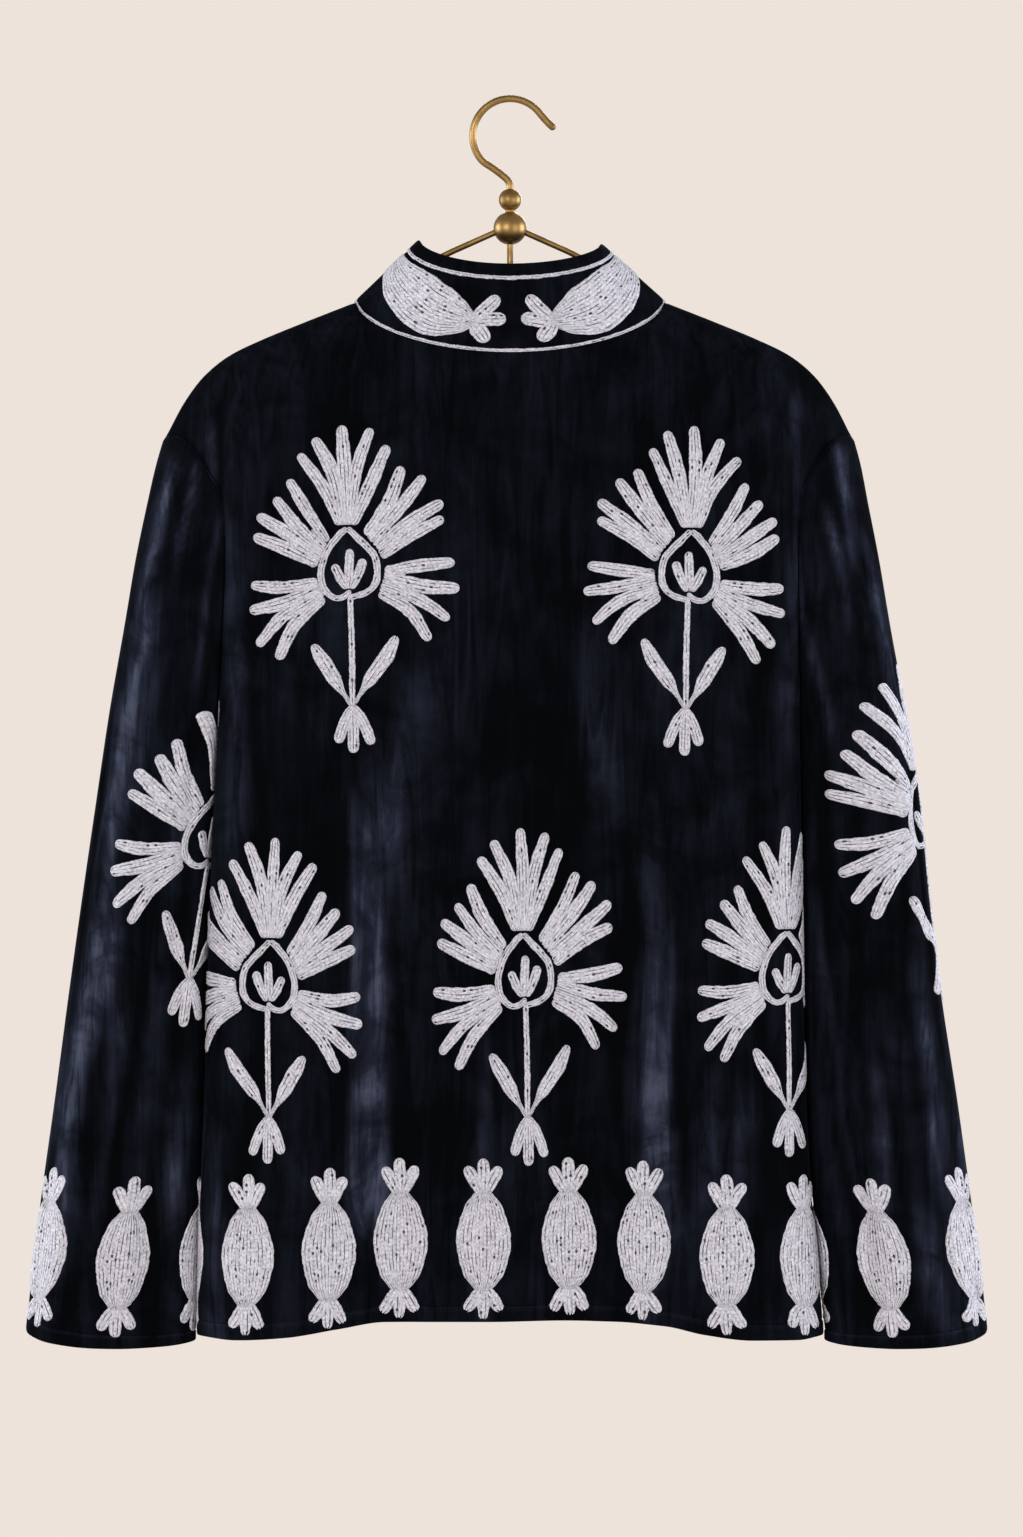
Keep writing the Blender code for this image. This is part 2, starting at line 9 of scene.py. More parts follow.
import bpy
import numpy as np
from bpy.props import FloatProperty, FloatVectorProperty, PointerProperty
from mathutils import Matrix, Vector


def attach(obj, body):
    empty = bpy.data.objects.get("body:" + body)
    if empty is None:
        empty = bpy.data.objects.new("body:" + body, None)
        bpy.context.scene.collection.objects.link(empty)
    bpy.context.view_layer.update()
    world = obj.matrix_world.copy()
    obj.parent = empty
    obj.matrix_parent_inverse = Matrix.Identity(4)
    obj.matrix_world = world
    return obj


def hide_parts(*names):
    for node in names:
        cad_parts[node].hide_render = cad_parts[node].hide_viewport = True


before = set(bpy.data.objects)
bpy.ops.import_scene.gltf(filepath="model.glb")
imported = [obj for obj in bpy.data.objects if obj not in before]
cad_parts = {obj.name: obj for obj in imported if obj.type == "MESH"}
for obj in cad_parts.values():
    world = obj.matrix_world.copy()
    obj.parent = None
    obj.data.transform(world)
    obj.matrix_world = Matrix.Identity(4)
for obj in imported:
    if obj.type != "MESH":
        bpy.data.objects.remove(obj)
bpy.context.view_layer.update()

bl_info = {
    "name": "Embroidered Velvet Jacket",
    "version": (1, 0, 0),
    "blender": (4, 5, 0),
    "location": "3D View > Sidebar > Jacket",
    "description": "Makes a velvet jacket with chain-stitch flowers on a wire hanger",
    "category": "Object",
}

MM = 0.001

# Heights below the hook seat and widths from the centre line, mm
NECK_SIDE, NECK_BACK, NECK_FRONT = 145.0, 182.0, 214.0
SHOULDER, UNDERARM, HEM = 240.0, 440.0, 891.0
NECK_HALF, SHOULDER_HALF = 112.0, 248.0
BODY_DEPTH = 33.0
NECK_BACK_DEPTH, NECK_FRONT_DEPTH = 40.0, 46.0
NECK_BACK_CURVE, NECK_FRONT_CURVE = 1.2, 2.2
SIDE_ROUND = 4.0
SHOULDER_ROUND = 85.0
NARROWING, NARROWING_ENDS = 2.2, 0.5

COLLAR_TOP_HALF = 65.0
COLLAR_SIDE, COLLAR_BACK, COLLAR_FRONT = 101.6, 118.0, 160.0
COLLAR_TILT = 1.4
COLLAR_BACK_DEPTH, COLLAR_FRONT_DEPTH = 38.0, 43.0

SLEEVE_DEPTH_TOP, SLEEVE_DEPTH_CUFF = 28.0, 25.0
SLEEVE_CLEAR, SLEEVE_TOUCH = 3.2, 1.5
TOUCH_ENDS, CLEAR_FROM = 750.0, 830.0
CUFF_OUTER, CUFF_INNER = 887.0, 894.0
CUFF_SAG_BACK, CUFF_SAG_FRONT = 9.5, 6.0
SLEEVE_LEAN, SLEEVE_SWING, SLEEVE_HEAD = 0.72, -0.70, 0.20
BESIDE_FROM, BESIDE_BY = 330.0, 410.0

SEAM_GAP = 0.4
STITCH_ABOVE_HEM = 11.0

# drop, body edge left and right, sleeve's outer edge left and right
OUTLINE = np.array([
    (240, 248, 246, 248, 246), (262, 222, 222, 254.5, 252), (290, 206, 208, 261, 257.5),
    (330, 205, 207, 269.5, 265.5), (380, 206, 207, 278, 274), (440, 209, 208, 288.5, 285),
    (504, 213, 209, 298, 295), (576, 216, 210, 308.5, 302), (648, 218, 211, 318.5, 311),
    (720, 220, 213, 328, 322), (792, 223, 217, 338, 332), (850, 224, 222, 345, 340),
    (891, 225, 225, 349, 344), (900, 225, 225, 350, 345),
], dtype=float)

# distance from the centre, drop
SHOULDER_LINE = np.array([
    (112, 145), (153, 161), (180, 172), (203, 183), (221, 197), (236, 217), (248, 240),
], dtype=float)

# drop, edge at left and right, depth from the hanger's plane
ARMHOLE = np.array([
    (240, 248, 246, 0), (243, 238, 237, 9), (252, 228, 228, 16), (266, 218, 219, 21),
    (285, 208, 210, 26), (310, 205, 207, 28), (340, 205, 207, 27), (370, 206, 207, 24),
    (398, 207, 207, 19), (420, 208, 208, 12), (434, 209, 208, 6), (440, 209, 208, 0),
], dtype=float)

# place across (-1 to 1), drop
HEM_LINE = np.array([
    (-1.00, 890), (-0.88, 893), (-0.72, 891), (-0.55, 885), (-0.40, 880), (-0.10, 880),
    (0.15, 879), (0.35, 880), (0.50, 883), (0.62, 889), (0.78, 893), (0.92, 893), (1.00, 890),
])

# Long folds of the body: place across, half width across, how far it stands out at
# the hem, drop where it begins
BACK_FOLDS = ((-0.76, 0.17, 9.0, 430), (-0.24, 0.20, -8.0, 450), (0.02, 0.10, 1.5, 560),
              (0.24, 0.20, -8.0, 430), (0.78, 0.16, 9.0, 460))
FRONT_FOLDS = ((-0.66, 0.20, 8.0, 450), (-0.30, 0.14, -6.0, 470),
               (0.32, 0.15, -6.0, 450), (0.70, 0.18, 8.0, 470))

# Long folds of a sleeve: turn from its outer edge over the back in degrees, half
# width in degrees, how far it stands out, where along it the fold begins
SLEEVE_FOLDS = ((58.0, 22.0, 2.5, 0.15), (122.0, 20.0, -5.0, 0.08),
                (238.0, 22.0, -4.0, 0.12), (300.0, 24.0, 3.0, 0.20))

# Creases: place across, half width, height, drops where it begins, is full and ends
BACK_CREASES = (
    (-209, 6.0, -2.6, 196, 226, 300), (-198, 8.0, 2.4, 236, 330, 640), (-183, 7.0, -1.6, 300, 420, 760),
    (-160, 12.0, 1.2, 520, 660, 900), (-122, 8.0, -1.8, 470, 600, 880), (-101, 9.0, 2.6, 430, 520, 780),
    (-80, 8.0, -2.0, 470, 560, 860), (-52, 12.0, 1.2, 610, 760, 900), (-20, 11.0, -1.2, 560, 700, 900),
    (14, 12.0, 1.1, 640, 780, 900), (44, 9.0, -1.3, 520, 660, 880), (66, 8.0, 1.5, 330, 380, 480),
    (82, 8.0, -2.0, 470, 600, 860), (101, 9.0, 2.8, 490, 570, 860), (121, 8.0, -1.6, 540, 650, 900),
    (152, 12.0, 1.4, 560, 700, 900), (180, 7.0, -1.8, 300, 430, 760), (196, 8.0, 2.4, 236, 330, 640),
    (209, 6.0, -2.6, 196, 226, 300), (-60, 26.0, 1.3, 240, 320, 560), (20, 30.0, -1.2, 230, 330, 600),
    (132, 24.0, 1.1, 240, 340, 520), (-140, 22.0, -1.1, 240, 340, 540),
)
FRONT_CREASES = (
    (-209, 6.0, -2.4, 196, 228, 300), (-196, 8.0, 2.2, 240, 340, 620), (-176, 8.0, -1.8, 330, 460, 780),
    (-146, 12.0, 1.5, 500, 640, 900), (-112, 9.0, -2.0, 430, 560, 880), (-88, 10.0, 2.2, 440, 560, 860),
    (-58, 9.0, -1.7, 500, 640, 900), (-30, 8.0, 1.2, 560, 700, 900), (28, 8.0, 1.3, 520, 680, 900),
    (56, 9.0, -1.8, 470, 600, 880), (84, 10.0, 2.3, 430, 560, 840), (110, 9.0, -1.8, 480, 610, 900),
    (144, 12.0, 1.4, 520, 660, 900), (177, 8.0, -1.9, 320, 450, 780), (197, 8.0, 2.2, 240, 340, 620),
    (209, 6.0, -2.4, 196, 228, 300), (-70, 24.0, 1.3, 250, 340, 560), (90, 26.0, -1.2, 250, 350, 560),
)
# The same round a sleeve, with the place and half width as turns in degrees
SLEEVE_CREASES = (
    (16, 7.0, 1.6, 330, 430, 900), (30, 7.0, -1.9, 300, 400, 860), (47, 8.0, 2.2, 420, 540, 900),
    (66, 7.0, -1.5, 480, 600, 900), (84, 9.0, 1.5, 380, 470, 700), (100, 7.0, -1.7, 560, 690, 900),
    (118, 8.0, 1.9, 430, 560, 880), (137, 8.0, -2.2, 360, 480, 860), (156, 8.0, 1.5, 470, 600, 900),
    (202, 8.0, 1.4, 440, 580, 900), (221, 8.0, -2.0, 370, 500, 880), (243, 9.0, 1.9, 420, 560, 900),
    (266, 8.0, -1.5, 500, 640, 900), (287, 9.0, 1.8, 370, 490, 860), (309, 8.0, -1.9, 420, 560, 900),
    (331, 8.0, 1.6, 330, 450, 900),
)

# Painted highlights: streaks where the velvet's colour is lightened to stand in for sheen on the folds, in
# the same columns
BACK_PAINTED_SHINE = (
    (-101, 9.0, 1.0, 470, 560, 770), (-113, 4.0, 0.7, 480, 520, 640), (-93, 5.0, 0.8, 560, 640, 800),
    (104, 9.0, 1.0, 530, 610, 790), (113, 4.0, 0.7, 560, 640, 760), (97, 4.0, 0.6, 600, 680, 860),
    (68, 12.0, 0.42, 350, 390, 470), (-72, 14.0, 0.32, 400, 440, 520), (-200, 8.0, 0.45, 270, 330, 480),
    (206, 8.0, 0.42, 270, 330, 430), (-20, 6.0, 0.35, 640, 700, 860), (-213, 8.0, 0.45, 700, 770, 880),
    (140, 9.0, 0.32, 690, 740, 820), (165, 8.0, 0.30, 690, 740, 800), (-140, 24.0, 0.14, 230, 290, 420),
    (209, 4.5, 0.8, 200, 225, 245), (-217, 4.0, 0.55, 225, 240, 250),
)
FRONT_PAINTED_SHINE = (
    (-190, 8.0, 0.45, 290, 360, 520), (-104, 9.0, 0.9, 450, 560, 780), (-84, 6.0, 0.6, 560, 640, 820),
    (-60, 14.0, 0.32, 330, 390, 520), (96, 9.0, 0.9, 480, 580, 800), (112, 5.0, 0.6, 560, 660, 780),
    (70, 12.0, 0.35, 330, 400, 480), (196, 8.0, 0.45, 280, 340, 460), (150, 10.0, 0.35, 690, 750, 840),
)
# The same on a sleeve, with the place as the distance in from its outer edge
LEFT_SLEEVE_PAINTED_SHINE = (
    (9, 5.0, 0.85, 250, 285, 360), (14, 8.0, 1.1, 335, 385, 480), (13, 5.5, 0.9, 430, 500, 620),
    (19, 10.0, 1.0, 560, 650, 800), (32, 3.0, 0.7, 250, 275, 300), (57, 3.0, 0.6, 290, 330, 390),
    (27, 4.0, 0.5, 405, 435, 460), (91, 10.0, 0.6, 660, 720, 770), (40, 6.0, 0.35, 600, 680, 780),
    (62, 7.0, 0.3, 450, 560, 700),
)
RIGHT_SLEEVE_PAINTED_SHINE = (
    (12, 6.0, 0.8, 236, 258, 270), (20, 4.5, 1.0, 255, 282, 290), (28, 4.5, 0.75, 285, 310, 330),
    (4, 4.0, 0.8, 300, 350, 430), (9, 3.5, 0.5, 340, 360, 400), (61, 5.0, 0.55, 320, 370, 410),
    (16, 6.5, 0.8, 580, 650, 740), (54, 6.0, 0.5, 640, 700, 740), (28, 10.0, 0.6, 780, 830, 860),
    (6, 5.0, 0.6, 700, 780, 860), (80, 5.0, 0.35, 560, 640, 760),
)

# Flower: each stroke is its points from base to tip and its half widths there, mm
# from the middle of the drop-shaped heart, x to the right and y down
PETALS = (
    ((-6, -27), (-18, -54), (-34.5, -77)), ((-3.5, -27), (-12.5, -67), (-23, -88.5)),
    ((-1, -27), (-3.5, -74), (-4, -98)), ((1, -27), (8.5, -72), (16.5, -94.5)),
    ((3, -27), (17.5, -59), (27.5, -82)),
    ((-15, -15), (-33, -40), (-42, -57.5)), ((-17.5, -8.5), (-38, -28.5), (-52, -45)),
    ((-19.5, -3.5), (-46, -21.5), (-63, -33)), ((-22, 1.5), (-46, -10.5), (-65, -18.5)),
    ((12.5, -19.5), (29.5, -44), (39.5, -67)), ((16, -15), (39.5, -42), (53, -60)),
    ((20.5, -10), (44.5, -30), (66, -44.5)), ((23.5, -4), (46.5, -21.5), (67.5, -31)),
    ((-22, 13.5), (-50, 18), (-68.5, 16)), ((-20.5, 17.5), (-48, 29.5), (-69.5, 35)),
    ((-18.5, 21), (-48, 41.5), (-63.5, 58)), ((-17.5, 25.5), (-39, 47.5), (-50.5, 69)),
    ((26, 6), (53, 3), (75, 0)), ((25.5, 10), (58, 16.5), (78.5, 19.5)),
    ((23.5, 16), (55, 29), (71, 40.5)), ((22, 22), (45, 35.5), (57.5, 55)),
)
PETAL_HALF = (3.5, 5.2, 3.9)
# Petals of each fan, whose gaps near the heart short strokes fill
PETAL_FANS = (5, 4, 4, 4, 4)
FILLER_HALF = (1.8, 2.6, 1.4)
HEART_LEFT = ((-1, -25), (-11, -15), (-18, -2), (-20, 8), (-17.5, 19), (-10, 25.5), (-3, 24.5), (1, 21))
HEART_RIGHT = ((-1, -25), (9, -15.5), (18.5, -5), (21, 7), (19, 16), (13, 21.5), (6, 24), (1, 25))
BUD = (((-1, 19), (-6, 11), (-10, 3)), ((0, 19), (0.5, 6), (1, -8)), ((2, 19), (7, 9), (10.5, -1)))
STEM = ((1.5, 24), (2.5, 60), (3, 102))
LEAVES = (((3, 104), (-3, 95), (-10, 84), (-18, 71), (-25, 60.5)),
          ((3, 104), (9, 94), (17, 82), (27, 68), (34, 54.5)))
LEAF_HALF = (1.4, 1.9, 5.5, 5.9, 3.4)
ROOTS = (((3, 103), (-3, 116), (-7, 128)), ((3, 103), (3.5, 120), (3.5, 135)),
         ((3.5, 103), (11, 116), (16.5, 129)))

# Flowers: place round the body from centre back, drop, width and height scales, mirrored
BODY_FLOWERS = (
    (-116.5, 333, 1.00, 1.00, 1), (129.5, 335, 0.97, 1.00, -1), (10.0, 626, 0.93, 1.03, 1),
    (-174.5, 630, 0.93, 0.99, -1), (203.0, 624, 0.93, 1.00, 1),
)
FRONT_FLOWERS = (
    (-352.0, 360, 0.96, 1.00, 1), (354.0, 358, 0.96, 1.00, -1), (-334.0, 636, 0.93, 1.00, -1),
    (362.0, 636, 0.93, 1.00, 1),
)
# Flowers on the sleeves: place in from the left sleeve's inner edge and the right
# sleeve's outer edge, drop, width scale
LEFT_SLEEVE_FLOWER = (21.0, 526.0, 0.84)
RIGHT_SLEEVE_FLOWER = (5.0, 509.5, 1.0)
SLEEVE_FLOWER_TALL, SLEEVE_FLOWER_LEAN = 1.03, 0.14
# Drop at which the half way round the left sleeve is measured
SLEEVE_MEASURED_AT = 520.0
# Bulbs along the hem: place round the body, height of its foot above the hem. Past the
# side seam, HALF_ROUND from centre back, the hem's height is taken from the back's
HALF_ROUND = 235.0
HEM_BULBS = (
    (-192.5, 1.7), (-132.5, -1.0), (-80.0, 0.0), (-19.5, 0.2), (43.0, 0.2), (98.0, -0.3), (159.0, 0.3),
    (218.0, 0.8), (-249.0, 1.0), (-306.0, 1.5), (-362.0, 1.0), (-419.0, 1.0), (275.0, 1.0),
    (333.0, 1.5), (391.0, 1.0), (447.0, 1.0),
)
# The same round a cuff, from the sleeve's outer edge
LEFT_CUFF_BULBS = (19.0, 80.5, 142.0, 196.0, -30.0)
RIGHT_CUFF_BULBS = (19.0, 85.0, 147.0, 200.0, -29.0)
CUFF_BULB_LIFT = 6.0
BULB_TALL, BULB_FOOT_REACH = 0.965, 58.5
# Crown above and foot below a bulb's body
BULB_BODY = ((0, 39), (0, 25), (0, 0), (0, -25), (0, -39))
BULB_HALF = (3.8, 15.0, 20.5, 14.5, 3.8)
BULB_ROWS = 14
BULB_CROWN = (((-2, -35), (-7, -46), (-11, -53.5)), ((0, -35), (0, -48), (0, -59.5)),
              ((2, -35), (7, -46), (11, -53.5)))
BULB_FOOT = (((-2, 35), (-6.5, 43), (-11, 51)), ((0, 35), (0, 46), (0, 56)),
             ((2, 35), (6.5, 43), (11, 51)))
LOBE_HALF = (3.6, 5.0, 4.7)
# Bulb on the collar: place round from centre back and height above the neck seam
COLLAR_CENTRE = 2.0
COLLAR_BULB = ((23, 21), (35, 22), (51, 24.5), (73, 33), (95, 40), (111, 45))
COLLAR_BULB_HALF = (3.0, 13.0, 19.5, 18.5, 12.0, 3.5)
COLLAR_LOBES = (((26.5, 21.5), (19.5, 29.5), (12, 38)), ((26.5, 21), (17, 22), (7, 24)),
                ((26.5, 20.5), (21, 14.5), (16.5, 9)))
COLLAR_LOBE_HALF = (3.2, 5.6, 5.2)
COLLAR_FRONT_SHARE = 0.85
# Stitched lines round the collar: share of its height up, and how far short they stop
COLLAR_LINES, LINE_INSET = (0.022, 0.84), 3.0
# How far the stitch map moves on from one stroke to the next, in links
STITCH_SHIFT = 40.0

# Hanger, x and height: the hook's wire bends round the rail from its tip to its stem
HOOK_WIRE, BAR_WIRE = 2.6, 2.2
HOOK_BEND, HOOK_TURNS = 27.0, (37.0, 220.0)
HOOK_TIP = ((32.4, -19.6), (27.0, -14.4))
HOOK_STEM = ((-12.6, -47.6), (-5.4, -53.0), (-1.6, -56.6), (-0.2, -59.4), (0.0, -61.5), (0.0, -65.0))
# Balls as radius and height of the middle, and the neck between them
SMALL_BALL, LARGE_BALL, BALL_NECK = (8.2, -70.5), (12.0, -91.0), (3.3, -78.6)
# A shoulder bar's way from the large ball to the seam, then its end and the bend below it
BAR_TOP = ((8.0, -92.8), (30.0, -102.6), (47.0, -110.4), (62.0, -119.0), (78.0, -129.6), (95.0, -141.5),
           (112.0, -152.0), (132.0, -160.0))
BAR_END, BAR_BEND, BAR_UNDER_SEAM = 196.0, 7.0, 4.76
CROSSBAR_INSET, POST_TOP, POST_ABOVE = 0.3, -100.5, 2.5

# Camera in metres: the point it faces, the height of its picture at the cloth's near
# side, and how far that side is before the point. Its sensor and the floor are in mm
LOOK_AT, FRAME_TALL, CLOTH_NEAR = (0.0010, 0.0, -0.4813), 1.1066, 0.03
SENSOR = 36.0
FLOOR_REACH, FLOOR_HEIGHT = 2300.0, -1600.0
# Lamps in metres: name, place, size, power and colour, all turned to one point
LAMPS_FACE = (0.0, 0.0, -0.5)
LAMPS = (
    ("key", (-1.2, -2.4, 0.3), 1.5, 34.0, (1.0, 0.97, 0.93)),
    ("fill", (1.5, -2.1, -0.2), 1.6, 20.0, (0.95, 0.97, 1.0)),
    ("left_side", (-1.9, 0.1, -0.1), 1.2, 26.0, (0.86, 0.92, 1.0)),
    ("right_side", (1.9, 0.1, -0.1), 1.2, 26.0, (0.86, 0.92, 1.0)),
    ("behind", (0.4, 2.4, 0.5), 1.6, 40.0, (1.0, 0.97, 0.94)),
)


def smooth(x):
    """Ease from 0 to 1 with flat ends."""
    x = np.clip(x, 0.0, 1.0)
    return x * x * (3.0 - 2.0 * x)


def curve_through(x, xs, ys, flat_peaks=True):
    """Smooth curve through a table: a cubic in each span.

    The slopes are weighed means of the spans on both sides, and with flat_peaks they
    never overshoot the table.
    """
    h = np.diff(xs)
    d = np.diff(ys) / h
    slope = np.zeros_like(ys)
    if flat_peaks:
        rises = d[:-1] * d[1:] > 0.0
        safe = np.where(np.abs(d) < 1e-12, 1.0, d)
        w1, w2 = 2.0 * h[1:] + h[:-1], h[1:] + 2.0 * h[:-1]
        slope[1:-1] = np.where(rises, (w1 + w2) / (w1 / safe[:-1] + w2 / safe[1:]), 0.0)
    else:
        slope[1:-1] = (d[:-1] * h[1:] + d[1:] * h[:-1]) / (h[1:] + h[:-1])
    slope[0], slope[-1] = d[0], d[-1]
    x = np.clip(x, xs[0], xs[-1])
    i = np.clip(np.searchsorted(xs, x, side="right") - 1, 0, len(xs) - 2)
    t = (x - xs[i]) / h[i]
    a = (1.0 + 2.0 * t) * (1.0 - t) ** 2
    b = t * t * (3.0 - 2.0 * t)
    return (a * ys[i] + b * ys[i + 1]
            + h[i] * (t * (1.0 - t) ** 2 * slope[i] - t * t * (1.0 - t) * slope[i + 1]))


def lower_marks(begin, end, count):
    """Drops from begin to a hem at end: even, then close together from the stitch line down."""
    above = end - begin
    near_hem = np.array([15.0, 13.2, 12.2, 11.6, 11.0, 10.4, 9.6, 8.0, 6.0, 4.0, 2.4, 1.4, 0.7, 0.3, 0.0])
    even = np.linspace(above, 18.0, count)
    return end - np.concatenate([even, near_hem])


def armhole_edge(side, count):
    """Armhole seam from shoulder tip to underarm, even along its length: drop, edge, depth."""
    table = ARMHOLE[:, [0, 1 if side < 0 else 2, 3]]
    steps = np.linalg.norm(np.diff(table, axis=0), axis=1)
    length = np.concatenate([[0.0], np.cumsum(steps)])
    wanted = np.linspace(0.0, length[-1], count + 1)
    return np.stack([curve_through(wanted, length, column) for column in table.T], axis=1)


def side_edge(side, count, marks):
    """Edge of the body from the shoulder tip down the armhole, then down the side seam."""
    upper = armhole_edge(side, count)
    edge = curve_through(marks, OUTLINE[:, 0], OUTLINE[:, 1 if side < 0 else 2])
    return np.concatenate([upper, np.stack([marks, edge, np.zeros_like(marks)], axis=1)])


def body_columns(neck_count, side_count):
    """Places across, -1 to 1: closer near the neck points, then even round the section."""
    q = np.linspace(0.0, 1.0, neck_count + 1)
    edge = NECK_HALF / SHOULDER_HALF
    neck = edge * (0.6 * q + 0.4 * np.sin(q * math.pi / 2.0))
    fine = np.sin(np.linspace(0.0, math.pi / 2.0, 4001))
    y = BODY_DEPTH * (1.0 - fine ** SIDE_ROUND) ** (1.0 / SIDE_ROUND)
    run = np.concatenate([[0.0], np.cumsum(np.hypot(np.diff(fine * SHOULDER_HALF), np.diff(y)))])
    start = np.interp(edge, fine, run)
    outer = np.interp(np.linspace(start, run[-1], side_count + 1), run, fine)[1:]
    half = np.concatenate([neck, outer])
    return np.concatenate([-half[:0:-1], half])


def creases(place, drop, table):
    """Sum of long soft ridges and troughs, each of which wanders sideways as it falls."""
    total = np.zeros(np.broadcast(place, drop).shape)
    for middle, width, height, begins, full, ends in table:
        wander = width * (0.55 * np.sin(drop / 70.0 + middle) + 0.35 * np.sin(drop / 31.0 + 2.0 * middle))
        swell = 1.0 + 0.35 * np.sin(drop / 47.0 + 3.0 * middle)
        spread = width * (0.8 + 0.4 * smooth((drop - begins) / 400.0))
        near = np.exp(-((place - middle - wander) / spread) ** 2)
        grows = smooth((drop - begins) / (full - begins)) * (1.0 - smooth((drop - ends) / 70.0))
        total = total + height * swell * near * grows
    return total


def ripples(place, drop, seed, height):
    """Low uneven waves: a few long sine waves added up, chosen by a seeded draw."""
    draw = np.random.default_rng(seed)
    total = 0.0
    for _ in range(9):
        across, down = draw.uniform(28.0, 95.0), draw.uniform(120.0, 420.0)
        phase, lean = draw.uniform(0.0, 6.28), draw.uniform(-0.25, 0.25)
        total = total + np.sin((place + lean * drop) / across * 3.1 + drop / down * 3.1 + phase)
    return total * height / 3.0


def painted_sheen_field(place, drop, fine, painted_shine):
    """Painted sheen: how far the velvet's colour is lightened, a little on every ridge and most in the
    shine's streaks.
    """
    return 0.20 * smooth(0.5 + fine / 5.0) + np.clip(creases(place, drop, painted_shine), 0.0, 1.3)


def body_grid(facing, strength):
    """Middle surface of the back (facing -1) or the two fronts (facing 1), with its nap and painted sheen.

    A point's drop goes evenly from the top edge (neckline and shoulder seam) to the hem,
    its place across narrows to the armhole and side seam, and its depth follows a
    squared-off oval from side to side, closing over the shoulder in a quarter round.
    Folds, creases and ripples are added to the depth.
    """
    marks = lower_marks(UNDERARM, HEM, 94)[1:]
    left, right = side_edge(-1, 78, marks), side_edge(1, 78, marks)
    down = (left[:, 0] - SHOULDER) / (HEM - SHOULDER)
    columns = body_columns(35, 54)
    across = columns[None, :]
    share = (across + 1.0) / 2.0
    centre_drop, centre_depth, curve, folds, table, painted_shine = (
        (NECK_BACK, NECK_BACK_DEPTH, NECK_BACK_CURVE, BACK_FOLDS, BACK_CREASES, BACK_PAINTED_SHINE) if facing < 0 else
        (NECK_FRONT, NECK_FRONT_DEPTH, NECK_FRONT_CURVE, FRONT_FOLDS, FRONT_CREASES, FRONT_PAINTED_SHINE))

    distance = np.abs(columns) * SHOULDER_HALF
    turn = np.sqrt(np.clip(1.0 - (distance / NECK_HALF) ** 2, 0.0, 1.0))
    neck = NECK_SIDE + (centre_drop - NECK_SIDE) * turn ** curve
    seam = curve_through(distance, SHOULDER_LINE[:, 0], SHOULDER_LINE[:, 1])
    top_drop = np.where(distance < NECK_HALF, neck, seam)
    top_depth = centre_depth * turn
    hem_drop = curve_through(columns, HEM_LINE[:, 0], HEM_LINE[:, 1])
    drop = top_drop + (hem_drop - top_drop) * down[:, None]

    half = left[:, 1][:, None] * (1.0 - share) + right[:, 1][:, None] * share
    bias = 1.0 + NARROWING * (1.0 - smooth(down / NARROWING_ENDS))[:, None]
    x = across * SHOULDER_HALF - np.sign(across) * (SHOULDER_HALF - half) * np.abs(across) ** bias

    edge_depth = left[:, 2][:, None] * (1.0 - share) + right[:, 2][:, None] * share
    swell = (1.0 - np.abs(across) ** SIDE_ROUND) ** (1.0 / SIDE_ROUND)
    full = edge_depth + (BODY_DEPTH - edge_depth) * swell
    for place, width, stands_out, begins in folds:
        bump = np.exp(-((across - place) / width) ** 2) * swell
        full = full + stands_out * bump * smooth((drop - begins) / (HEM - begins))
    below_top = (drop - top_drop) / SHOULDER_ROUND
    closing = np.sqrt(1.0 - (1.0 - np.clip(below_top, 0.0, 1.0)) ** 2)

    below_seam = smooth((drop - top_drop) / 30.0) * np.minimum(1.0, swell * 1.6)
    fine = creases(x, drop, table) + ripples(x, drop, 11 + facing, 0.7)
    depth = top_depth + (full - top_depth) * closing + fine * below_seam * strength
    depth[:, 0], depth[:, -1] = left[:, 2], right[:, 2]
    # Painted sheen: the velvet's colour is lightened on crease ridges and in the shine streaks
    nap_with_painted_sheen = painted_sheen_field(x, drop, fine, painted_shine)
    to_hem = hem_drop - drop
    return np.stack([x, facing * depth, -drop], axis=2), nap_with_painted_sheen, to_hem


def grid_normals(points, closed):
    """Unit normals of a grid of points, from its row and column tangents."""
    if closed:
        along_columns = np.roll(points, -1, axis=1) - np.roll(points, 1, axis=1)
    else:
        along_columns = np.gradient(points, axis=1)
    normals = np.cross(along_columns, np.gradient(points, axis=0))
    return normals / np.maximum(np.linalg.norm(normals, axis=2, keepdims=True), 1e-9)


